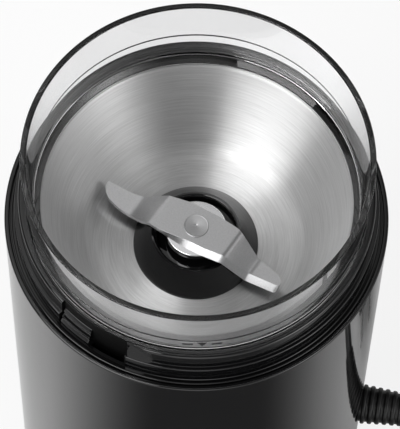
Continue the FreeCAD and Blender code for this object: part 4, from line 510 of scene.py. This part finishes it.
# Top ring: the rim's land and groove, the stepped neck and the tab slot
ring = {"profile": [(45.9, 143.6), (49.25, 143.6), (49.25, 150.8), (50.35, 150.8), (50.35, 152.3, 0.25),
                    (49.75, 152.3, 0.2), (49.75, 151.6), (49.25, 151.6), (49.25, 152.35, 0.06), (49.1, 152.5),
                    (49.1, 158.25, 0.3), (48.0, 158.25, 0.15), (48.0, 163.9, 0.75), (45.9, 163.9, 0.4)],
        "slotStart": -129.9, "slotEnd": -104.9, "back": 47.0, "floor": 152.5, "cutOut": 52, "cutTop": 166,
        "holeStart": -117.4, "holeOut": 48.3, "holeLow": 140, "holeHigh": 155,
        "wedgeStart": -105.4, "wedgeEnd": -96.5, "wedgeIn": 48.05, "wedgeOut": 53, "lip": 158.25,
        "wedgeTall": 8, "pocketEdge": 0.3, "pocketIn": 46.8, "pocketOut": 49.3, "pocketTop": 163.8}


def wedgeCutter():
    # Takes the neck's lip off along a flat that runs out beside the slot
    bm = bmesh.new()
    spots = [(ring["back"], ring["wedgeStart"]), (ring["wedgeIn"], ring["wedgeEnd"]),
             (ring["wedgeOut"], ring["wedgeEnd"]), (ring["wedgeOut"], ring["wedgeStart"])]
    base = []
    for radius, angle in spots:
        turn = math.radians(angle)
        base.append(bm.verts.new((radius * math.cos(turn) * mm, radius * math.sin(turn) * mm,
                                  ring["lip"] * mm)))
    face = bm.faces.new(base)
    raised = bmesh.ops.extrude_face_region(bm, geom=[face])["geom"]
    bmesh.ops.translate(bm, verts=[v for v in raised if isinstance(v, bmesh.types.BMVert)],
                        vec=(0, 0, ring["wedgeTall"] * mm))
    bmesh.ops.recalc_face_normals(bm, faces=bm.faces)
    return toObject("wedgeCutter", bm)


topRing = turnedPiece("topRing", ring["profile"], 300, 5)
cutAway(topRing, [
    sectorBlock("slotCutter", boxOutline(ring["back"], ring["cutOut"], ring["floor"], ring["cutTop"]),
                ring["slotStart"], ring["slotEnd"], 30),
    sectorBlock("holeCutter", boxOutline(ring["back"], ring["holeOut"], ring["holeLow"], ring["holeHigh"]),
                ring["holeStart"], ring["slotEnd"], 16),
    wedgeCutter()])
finishPiece(topRing, "housing", "black_gloss", ["top_ring"])
topRing.data.materials.append(finishes["pocket_painted_shade"])
for face in topRing.data.polygons:  # painted shade: inside the slot the walls get a blacker, duller finish in place of the shade there
    spot = face.center / mm
    turn = math.degrees(math.atan2(spot.y, spot.x))
    inSlot = ring["slotStart"] - ring["pocketEdge"] < turn < ring["slotEnd"] + ring["pocketEdge"]
    inWall = ring["pocketIn"] < spot.xy.length < ring["pocketOut"]
    if inSlot and inWall and ring["holeLow"] < spot.z < ring["pocketTop"] and face.normal.z < 0.9:
        face.material_index = 1

# Stepped ramp in the slot's shallow half, which the lid's tab slides over
ledge = {"profile": [(46.95, 152.3), (48.95, 152.3), (48.95, 154.4, 0.1), (48.35, 155.3, 0.1),
                     (48.35, 156.5, 0.1), (47.75, 157.3, 0.1), (47.75, 158.5, 0.1), (47.1, 159.5, 0.1),
                     (46.95, 159.5)],
         "start": -129.4, "end": -117.9}
slotLedge = sectorBlock("slotLedge", ledge["profile"], ledge["start"], ledge["end"], 16)
finishPiece(slotLedge, "housing", "black_gloss")
print("body built")


# Clear collar: the cup's smoky wall, with a clear fill band a little proud of it
collar = {"profile": [(44.25, 155.75, 0.15), (45.3, 155.75, 0.2), (45.3, 158.35), (45.5, 163.9),
                      (45.68, 166.65, 0.05), (45.88, 166.7, 0.05), (46.1, 170.25, 0.05), (45.93, 170.3, 0.05),
                      (46.87, 185.0, 0.4), (45.2, 185.0, 0.4), (43.85, 163.9, 0.6), (43.55, 161.65),
                      (42.1, 160.35, 0.2), (42.1, 159.75), (44.25, 159.75)]}
clearCollar = turnedPiece("clearCollar", collar["profile"], 300, 4)
finishPiece(clearCollar, "cup", "smoke_clear", ["clear_collar"])


# Painted refraction: two thin dark rings on the band's steps stand in for the dark lines the steps show against
# the black neck; they stop on both sides of the mark
stepShade = {"lines": [(166.45, 166.95, 45.74), (170.1, 170.75, 45.98)], "gapStart": -88.3, "gapEnd": -72.3,
        "filmDepth": 0.03}


def buildStepShadeLines():
    bm = bmesh.new()
    first = math.radians(stepShade["gapEnd"])
    heading = (math.cos(first), math.sin(first))
    for low, high, radius in stepShade["lines"]:
        made = bmesh.new()
        drawOutline(made, boxOutline(radius, radius + stepShade["filmDepth"], low, high),
                    place=lambda across, up: (across * heading[0] * mm, across * heading[1] * mm, up * mm))
        bmesh.ops.contextual_create(made, geom=made.edges[:])
        spinRound(made, 240, turn=fullTurn - math.radians(stepShade["gapEnd"] - stepShade["gapStart"]))
        mesh = bpy.data.meshes.new("fillLine")
        made.to_mesh(mesh)
        made.free()
        bm.from_mesh(mesh)
        bpy.data.meshes.remove(mesh)
    return toObject("stepShadeLines", bm)


# the painted refraction rings take the print finish
finishPiece(buildStepShadeLines(), "cup", "print_black", weighted=False)


# Fill mark: a plain arrow between two bars, printed on the band
mark = {"turn": -80.3, "radius": 46.06, "middle": 168.475, "bar": (2.4, 5.2), "barHalf": 0.35,
        "arrow": (1.3, 1.1), "filmDepth": 0.05, "cuts": (-4.2, -3.3, 3.3, 4.2)}


def buildFillMark():
    bm = bmesh.new()
    middle = mark["middle"]
    near, far = mark["bar"]
    low, high = middle - mark["barHalf"], middle + mark["barHalf"]
    half, tall = mark["arrow"]
    shapes = [boxOutline(-far, -near, low, high), boxOutline(near, far, low, high),
              [(-half, middle + tall), (0, middle - tall), (half, middle + tall)]]
    for shape in shapes:
        bm.faces.new([bm.verts.new((across * mm, 0, up * mm)) for across, up in shape])
    for cutAt in mark["cuts"]:
        bmesh.ops.bisect_plane(bm, geom=bm.verts[:] + bm.edges[:] + bm.faces[:], plane_co=(cutAt * mm, 0, 0),
                               plane_no=(1, 0, 0))
    bmesh.ops.recalc_face_normals(bm, faces=bm.faces)
    bmesh.ops.solidify(bm, geom=bm.faces[:], thickness=mark["filmDepth"] * mm)
    for vertex in bm.verts:  # wrapped on the collar
        angle = math.radians(mark["turn"]) + vertex.co.x / (mark["radius"] * mm)
        radius = mark["radius"] * mm + vertex.co.y
        vertex.co = Vector((radius * math.cos(angle), radius * math.sin(angle), vertex.co.z))
    bmesh.ops.recalc_face_normals(bm, faces=bm.faces)
    return toObject("fillMark", bm)


finishPiece(buildFillMark(), "cup", "print_black", weighted=False)

# Steel bowl: one sheet, spun, with a flat floor, a round corner and a rim
bowl = {"inside": [(6, 134), (28.89, 134, 2.6), (37.93, 146.67, 12.0), (41.55, 158.75), (41.95, 159.15),
                   (43.7, 159.15)], "gauge": 0.8}


def buildBowl():
    bm = bmesh.new()
    drawOutline(bm, bowl["inside"], closed=False, segments=10)
    spinRound(bm, 300)
    for face in bm.faces:  # the sheet's inner side faces up and in
        face.normal_update()
    if sum(face.normal.z for face in bm.faces) < 0:
        bmesh.ops.reverse_faces(bm, faces=bm.faces)
    bmesh.ops.solidify(bm, geom=bm.faces[:], thickness=bowl["gauge"] * mm)
    return toObject("steelBowl", bm)


finishPiece(buildBowl(), "cup", "brushed_bowl", ["steel_bowl"], weighted=False)

# Dome seal round the spindle
dome = {"profile": [(4.4, 134), (17.2, 134, 0.1), (17.1, 134.6, 0.25), (14.9, 138.0, 5.0),
                    (12.2, 141.05, 0.35), (11.5, 140.95, 0.25), (10.8, 140.1, 0.2), (10.6, 138.4),
                    (4.4, 138.4)]}
finishPiece(turnedPiece("domeSeal", dome["profile"], 160, 3), "cup", "black_gloss",
            ["dome_seal"])

# Hub and spindle under and through the blade
hub = {"profile": [(3.02, 138.8), (5, 138.8, 0.2), (5, 140.8), (8.4, 140.8, 0.3), (8.4, 143.1, 0.3),
                   (3.02, 143.1)]}
finishPiece(turnedPiece("bladeHub", hub["profile"], 96, 3), "spindle", "polished_steel",
            ["blade_hub"])
spindle = {"profile": [(0, 112.5), (3, 112.5, 0.4), (3, 143.1), (2.6, 143.1), (2.6, 144.6), (3.4, 144.6),
                       (3.4, 145.0, 0.15), (3.0, 144.92, 0.1), (0.45, 144.86, 0.1), (0.3, 144.76, 0.1),
                       (0, 144.74)]}
finishPiece(turnedPiece("bladeShaft", spindle["profile"], 72, 3), "spindle", "spun_steel",
            ["blade_shaft"])

# Blade: flat bar, bent down to both tips, with one ground edge on each arm
blade = {"turn": -25.4, "top": 144.6, "gauge": 1.5, "drop": 5.6, "flat": 11.4, "bend": 18.2, "bore": 2.62,
         "outline": [(3.4, 6.1), (9.9, 5.7), (18.2, 3.5), (26.3, 2.3, 1.2), (27.2, 0.6, 0.4), (27.2, -2.2, 0.9),
                     (18.2, -3.5), (12.4, -4.9), (5.4, -6.2), (1.4, -6.6), (-4.4, -6.6), (-13.7, -6.3),
                     (-18.2, -5.1), (-23.4, -4.9, 2.5), (-27.4, -3.6, 1.8), (-29.2, -0.9, 1.2),
                     (-29.1, 0.9, 0.6), (-21.4, 1.4), (-18.2, 2.2), (-11.4, 4.0), (-4.7, 5.8)],
         "cuts": [1.5, 3.0, 5.0, 8.0, 9.5, 10.4, 11.2, 12.0, 13.2, 15.0, 16.8, 17.8, 18.6, 19.6, 22.0, 24.5],
         "groundNear": 1.75, "groundFar": 0.45, "groundStart": 8.0, "groundFull": 9.0, "least": 0.5,
         "ease": 1.2, "edge": 0.16}


def bladeHeight(across):
    # Side line of the blade, with its bends rounded
    reach = abs(across)
    width = blade["bend"] - blade["flat"]
    share = min(max((reach - blade["flat"] + blade["ease"]) / (width + 2 * blade["ease"]), 0), 1)
    straight = min(max((reach - blade["flat"]) / width, 0), 1)
    eased = share * share * (3 - 2 * share)
    return blade["top"] - blade["drop"] * (0.7 * straight + 0.3 * eased)


def buildBlade():
    bm = bmesh.new()
    drawOutline(bm, blade["outline"], segments=5, place=lambda across, along: (across * mm, along * mm, 0))
    bmesh.ops.contextual_create(bm, geom=bm.edges[:])
    for cutAt in blade["cuts"] + [-cut for cut in blade["cuts"]] + [0]:
        bmesh.ops.bisect_plane(bm, geom=bm.verts[:] + bm.edges[:] + bm.faces[:], plane_co=(cutAt * mm, 0, 0),
                               plane_no=(1, 0, 0))
    top = bm.faces[:]
    lowered = bmesh.ops.extrude_face_region(bm, geom=top, use_keep_orig=True)["geom"]
    bmesh.ops.translate(bm, verts=[v for v in lowered if isinstance(v, bmesh.types.BMVert)],
                        vec=(0, 0, -blade["gauge"] * mm))
    bmesh.ops.recalc_face_normals(bm, faces=bm.faces)
    # The ground edge: the top's outline moves in along one side of each arm
    for vertex in bm.verts:
        side = -1 if vertex.co.y < 0 else 1
        start = -side * vertex.co.x / mm + blade["groundStart"]
        full = blade["groundNear" if side < 0 else "groundFar"]
        width = min(max(start / blade["groundFull"], 0), 1) * full
        if vertex.co.z > -0.1 * mm and width > 0:
            vertex.co.y = side * max(abs(vertex.co.y) - width * mm, blade["least"] * mm)
    for vertex in bm.verts:
        vertex.co.z += bladeHeight(vertex.co.x / mm) * mm
    bmesh.ops.rotate(bm, verts=bm.verts, cent=(0, 0, 0),
                     matrix=Matrix.Rotation(math.radians(blade["turn"]), 3, "Z"))
    tidyMesh(bm)
    return toObject("grindingBlade", bm)


grindingBlade = buildBlade()
cutAway(grindingBlade, [roundRod("boreCutter", blade["bore"], 138, 148)])
edges = grindingBlade.modifiers.new("edges", "BEVEL")
edges.width = blade["edge"] * mm
edges.segments = 2
edges.limit_method = "ANGLE"
edges.angle_limit = math.radians(30)
finishPiece(grindingBlade, "spindle", "blade_steel", ["grinding_blade"])
print("cup built")


# Cord boot: a ribbed, tapering strain relief that bends a little with the cord
boot = {"height": 39.7, "shoulder": [(34, 0.0), (34, 4.2, 0.3), (44.8, 4.2), (44.8, 7.5, 0.3),
                                     (47.2, 7.5, 0.3), (47.2, 5.2), (51.2, 5.2)],
        "start": 51.2, "pitch": 2.233, "ribs": 12, "radius": 5.9, "shrink": 0.179, "crest": 0.55,
        "groove": 0.7, "shallower": 0.045, "flare": 0.1, "tip": 78, "bore": 3.05, "boreStart": 58,
        "follow": 100}


def buildBoot():
    corners = list(boot["shoulder"])
    for rib in range(boot["ribs"]):
        radius = boot["radius"] - boot["shrink"] * rib
        begin = boot["start"] + boot["pitch"] * rib
        end = begin + boot["pitch"] * boot["crest"]
        low = radius - boot["groove"] * (1 - boot["shallower"] * rib)
        corners += [(begin, radius, 0.45), (end, radius, 0.45)]
        if rib < boot["ribs"] - 1:
            corners += [(end + boot["flare"], low, 0.25), (begin + boot["pitch"] - boot["flare"], low, 0.25)]
    corners += [(boot["tip"], boot["bore"] + 0.2, 0.15), (boot["tip"] - 0.3, boot["bore"]),
                (boot["boreStart"], boot["bore"]), (boot["boreStart"], 0)]
    bm = bmesh.new()
    drawOutline(bm, corners, closed=False, segments=3,
                place=lambda across, up: (across * mm, 0, (up + boot["height"]) * mm))
    spinRound(bm, 64, axis=(1, 0, 0), centre=(0, 0, boot["height"] * mm))
    early = [point for point in cordLine if point.x < boot["follow"] * mm]
    for vertex in bm.verts:  # follows the cord's line past its mouth
        for before, after in zip(early, early[1:]):
            if before.x <= vertex.co.x < after.x:
                share = (vertex.co.x - before.x) / (after.x - before.x)
                middle = before.lerp(after, share)
                vertex.co.y += middle.y
                vertex.co.z += middle.z - boot["height"] * mm
    return toObject("cordBoot", bm)


cordBoot = finishPiece(buildBoot(), "housing", "boot_black", ["cord_boot"])
cord.data.materials.append(finishes["cord_black"])
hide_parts("cord_lead", "cord_coil", "cord_tail")
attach(cord, "housing")

# Tie round the coil: a flat band with rounded corners
tie = {"centre": (185, 5), "turn": 45, "inner": 25.7, "outer": 44.5, "low": 0.9, "high": 13.8, "corner": 3.0,
       "wall": 0.7, "half": 4.0, "edge": 0.18}


def buildTie():
    bm = bmesh.new()
    box = boxOutline(tie["inner"], tie["outer"], tie["low"], tie["high"])
    drawOutline(bm, [corner + (tie["corner"],) for corner in box], segments=6,
                place=lambda across, up: (across * mm, -tie["half"] * mm, up * mm))
    widened = bmesh.ops.extrude_edge_only(bm, edges=bm.edges[:])["geom"]
    bmesh.ops.translate(bm, verts=[v for v in widened if isinstance(v, bmesh.types.BMVert)],
                        vec=(0, 2 * tie["half"] * mm, 0))
    bmesh.ops.recalc_face_normals(bm, faces=bm.faces)
    bmesh.ops.solidify(bm, geom=bm.faces[:], thickness=-tie["wall"] * mm)
    bmesh.ops.recalc_face_normals(bm, faces=bm.faces)
    rims = [e for e in bm.edges if e.calc_face_angle(0) > 1]
    bmesh.ops.bevel(bm, geom=rims, offset=tie["edge"] * mm, segments=2, profile=0.5, affect="EDGES",
                    material=-1)
    bmesh.ops.rotate(bm, verts=bm.verts, cent=(0, 0, 0),
                     matrix=Matrix.Rotation(math.radians(tie["turn"]), 3, "Z"))
    bmesh.ops.translate(bm, verts=bm.verts, vec=(tie["centre"][0] * mm, tie["centre"][1] * mm, 0))
    return toObject("cordTie", bm)


cordTie = finishPiece(buildTie(), "housing", "black_satin", ["cord_tie"])

# Plug: a moulded grip on a short neck, and two blades. Each section along it is its distance, half width
# and half thickness; the wide ones are squarer
plug = {"origin": (131.0, 39.43, 7.4), "heading": -169.61, "end": 38, "squared": 0.62, "squareFrom": 6,
        "sections": [(0, 3.6, 3.6), (0.5, 4.1, 4.1), (4, 4.2, 4.2), (8, 4.3, 4.3), (11.5, 4.4, 4.4),
                     (13.2, 6.2, 5.4), (15.5, 9.2, 6.4), (19, 10.6, 6.9), (24, 10.2, 6.6), (29, 10.2, 6.6),
                     (34, 10.9, 6.95), (37.2, 10.9, 6.95), (38, 10.3, 6.4)],
        "bladeOut": 17, "bladeAcross": 6.35, "bladeThick": 1.5, "bladeWide": 6.3, "bladeTip": 0.6}


def placePlug(bm):
    bmesh.ops.rotate(bm, verts=bm.verts, cent=(0, 0, 0),
                     matrix=Matrix.Rotation(math.radians(plug["heading"]), 3, "Z"))
    bmesh.ops.translate(bm, verts=bm.verts, vec=Vector(plug["origin"]) * mm)


def buildPlug():
    bm = bmesh.new()
    loops = []
    for distance, halfWidth, halfThick in plug["sections"]:
        made = bmesh.ops.create_circle(bm, cap_ends=False, segments=48, radius=1.0)["verts"]
        squared = plug["squared"] if halfWidth > plug["squareFrom"] else 1.0
        for vertex in made:
            angle = math.atan2(vertex.co.y, vertex.co.x)
            across = math.copysign(abs(math.cos(angle)) ** squared, math.cos(angle)) * halfWidth
            up = math.copysign(abs(math.sin(angle)) ** squared, math.sin(angle)) * halfThick
            vertex.co = Vector((distance * mm, across * mm, up * mm))
        loops.append(list({e for v in made for e in v.link_edges}))
    for before, after in zip(loops, loops[1:]):
        bmesh.ops.bridge_loops(bm, edges=before + after)
    bmesh.ops.holes_fill(bm, edges=[e for e in bm.edges if len(e.link_faces) == 1])
    bmesh.ops.recalc_face_normals(bm, faces=bm.faces)
    placePlug(bm)
    return toObject("plugBody", bm)


def buildPlugBlades():
    bm = bmesh.new()
    for side in (-1, 1):
        made = bmesh.ops.create_cube(bm, size=1.0)["verts"]
        bmesh.ops.scale(bm, verts=made, vec=(plug["bladeOut"] * mm, plug["bladeThick"] * mm,
                                             plug["bladeWide"] * mm))
        bmesh.ops.translate(bm, verts=made, vec=((plug["end"] + plug["bladeOut"] / 2) * mm,
                                                 side * plug["bladeAcross"] * mm, 0))
    tips = [e for e in bm.edges if all(v.co.x > (plug["end"] + 1) * mm for v in e.verts)
            and abs(e.verts[0].co.z - e.verts[1].co.z) < 1e-6]
    bmesh.ops.bevel(bm, geom=tips, offset=plug["bladeTip"] * mm, segments=3, profile=0.5, affect="EDGES",
                    material=-1)
    placePlug(bm)
    return toObject("plugBlades", bm)


plugBody = finishPiece(buildPlug(), "housing", "cord_black", ["plug_body"], 40)
plugBlades = finishPiece(buildPlugBlades(), "housing", "nickel_plate", ["plug_blades"])
print("cord dressed")


# Finishes of the nodes that show as they are
for row in frame["record"]["subparts"]:
    node = frame["nodes"][row["node"]]
    node.data.materials.clear()
    node.data.materials.append(finishes[row["material_slot"]])


# Studio: pale floor, white to the camera, a dim sky with soft lights in it, and one lamp. Each soft light
# is its azimuth, elevation, tightness and strength
studio = {"floorColour": grey(0.86), "floorWhite": 0.82, "floorHalf": 3.0, "skyLevel": 0.05,
          "soft": [(277, 12, 20, 2.4), (150.6, 72, 18, 2.1), (331, 28, 26, 5.6), (6.6, 28, 14, 1.0),
                   (156.6, 30, 12, 0.25)],
          "lamp": {"azimuth": 228, "elevation": 44, "distance": 1.3, "size": 1.1, "power": 14.5},
          "lampAim": 0.14, "cardHalf": 0.34, "cardLift": 0.0006, "cardMiddle": -75.4, "cardDark": 24,
          "cardClear": 88, "cardDepth": 0.915, "cardReach": (0.13, 0.3)}


def buildFloor():
    bm = bmesh.new()
    bmesh.ops.create_grid(bm, x_segments=8, y_segments=8, size=studio["floorHalf"])
    floor = toObject("floor", bm)
    material = bpy.data.materials.new("paleFloor")
    material.use_nodes = True
    tree = material.node_tree
    shader = tree.nodes["Principled BSDF"]
    shader.inputs["Base Color"].default_value = studio["floorColour"]
    shader.inputs["Roughness"].default_value = 0.8
    path = addNode(tree, "ShaderNodeLightPath")
    seen = addNode(tree, "ShaderNodeMath", operation="MAXIMUM")
    link(tree, path, "Is Camera Ray", seen, 0)
    link(tree, path, "Is Transmission Ray", seen, 1)
    share = addNode(tree, "ShaderNodeMath", {1: studio["floorWhite"]}, operation="MULTIPLY")
    link(tree, seen, 0, share, 0)
    white = addNode(tree, "ShaderNodeEmission", {"Color": grey(1.0), "Strength": 1.0})
    mixed = addNode(tree, "ShaderNodeMixShader")
    link(tree, share, 0, mixed, 0)
    tree.links.new(shader.outputs[0], mixed.inputs[1])
    tree.links.new(white.outputs[0], mixed.inputs[2])
    link(tree, mixed, 0, tree.nodes["Material Output"], "Surface")
    floor.data.materials.append(material)


def direction(azimuth, elevation):
    turn = math.radians(azimuth)
    level = math.radians(elevation)
    return Vector((math.cos(turn) * math.cos(level), math.sin(turn) * math.cos(level), math.sin(level)))


def buildSky():
    world = bpy.data.worlds.new("studio")
    scene.world = world
    world.use_nodes = True
    tree = world.node_tree
    tree.nodes.clear()
    place = addNode(tree, "ShaderNodeTexCoord")
    heading = addNode(tree, "ShaderNodeVectorMath", operation="NORMALIZE")
    link(tree, place, "Generated", heading, 0)
    level = None
    for azimuth, elevation, tightness, strength in studio["soft"]:
        # Each soft light fades outwards from its middle
        towards = addNode(tree, "ShaderNodeVectorMath", {1: direction(azimuth, elevation)},
                          operation="DOT_PRODUCT")
        link(tree, heading, 0, towards, 0)
        fall = addNode(tree, "ShaderNodeMath", {1: tightness, 2: -tightness}, operation="MULTIPLY_ADD")
        link(tree, towards, "Value", fall, 0)
        glow = addNode(tree, "ShaderNodeMath", operation="EXPONENT")
        link(tree, fall, 0, glow, 0)
        total = addNode(tree, "ShaderNodeMath", {1: strength, 2: studio["skyLevel"]},
                        operation="MULTIPLY_ADD")
        link(tree, glow, 0, total, 0)
        if level:
            link(tree, level, 0, total, 2)
        level = total
    soft = addNode(tree, "ShaderNodeBackground", {"Color": grey(1.0)})
    link(tree, level, 0, soft, "Strength")
    white = addNode(tree, "ShaderNodeBackground", {"Color": grey(1.0), "Strength": 1.0})
    path = addNode(tree, "ShaderNodeLightPath")
    seen = addNode(tree, "ShaderNodeMath", operation="MAXIMUM")
    link(tree, path, "Is Camera Ray", seen, 0)
    link(tree, path, "Is Transmission Ray", seen, 1)
    mixed = addNode(tree, "ShaderNodeMixShader")
    link(tree, seen, 0, mixed, 0)
    tree.links.new(soft.outputs[0], mixed.inputs[1])
    tree.links.new(white.outputs[0], mixed.inputs[2])
    output = addNode(tree, "ShaderNodeOutputWorld")
    link(tree, mixed, 0, output, "Surface")


def layShadowCard():
    # Painted shadow: a dark card lies before the object for its gloss alone, in place of the shadowed floor
    # there: black in the middle, fading to both sides
    bm = bmesh.new()
    bmesh.ops.create_grid(bm, x_segments=4, y_segments=4, size=studio["cardHalf"])
    bmesh.ops.translate(bm, verts=bm.verts, vec=(0, 0, studio["cardLift"]))
    card = toObject("paintedShadowCard", bm)
    for kind in ("camera", "diffuse", "transmission", "shadow", "volume_scatter"):
        setattr(card, "visible_" + kind, False)
    material = bpy.data.materials.new("paintedShadowCard")
    material.use_nodes = True
    tree = material.node_tree
    shader = tree.nodes["Principled BSDF"]
    shader.inputs["Base Color"].default_value = grey(0.0)
    shader.inputs["Specular IOR Level"].default_value = 0.0
    place = addNode(tree, "ShaderNodeTexCoord")
    parts = addNode(tree, "ShaderNodeSeparateXYZ")
    link(tree, place, "Object", parts, 0)
    azimuth = addNode(tree, "ShaderNodeMath", operation="ARCTAN2")
    link(tree, parts, "Y", azimuth, 0)
    link(tree, parts, "X", azimuth, 1)
    aside = addNode(tree, "ShaderNodeMath", {1: math.radians(studio["cardMiddle"])}, operation="SUBTRACT")
    link(tree, azimuth, 0, aside, 0)
    apart = addNode(tree, "ShaderNodeMath", operation="ABSOLUTE")
    link(tree, aside, 0, apart, 0)
    across = addNode(tree, "ShaderNodeMapRange", {"From Min": math.radians(studio["cardDark"]),
                     "From Max": math.radians(studio["cardClear"]), "To Min": studio["cardDepth"],
                     "To Max": 0.0}, interpolation_type="SMOOTHSTEP")
    link(tree, apart, 0, across, "Value")
    distance = addNode(tree, "ShaderNodeVectorMath", operation="LENGTH")
    link(tree, place, "Object", distance, 0)
    outward = addNode(tree, "ShaderNodeMapRange", {"From Min": studio["cardReach"][0],
                      "From Max": studio["cardReach"][1], "To Min": 1.0, "To Max": 0.0},
                      interpolation_type="SMOOTHSTEP")
    link(tree, distance, "Value", outward, "Value")
    cover = addNode(tree, "ShaderNodeMath", operation="MULTIPLY")
    link(tree, across, 0, cover, 0)
    link(tree, outward, 0, cover, 1)
    link(tree, cover, 0, shader, "Alpha")
    card.data.materials.append(material)


def hangLamp():
    settings = studio["lamp"]
    away = direction(settings["azimuth"], settings["elevation"]) * settings["distance"]
    lamp = bpy.data.lights.new("mainLamp", "AREA")
    lamp.shape = "DISK"
    lamp.size = settings["size"]
    lamp.energy = settings["power"]
    holder = bpy.data.objects.new("mainLamp", lamp)
    scene.collection.objects.link(holder)
    holder.location = Vector((0, 0, studio["lampAim"])) + away
    holder.rotation_euler = (-away).to_track_quat("-Z", "Y").to_euler()


buildFloor()
# painted shadow before the object, seen in the gloss alone
layShadowCard()
buildSky()
hangLamp()
print("studio set")
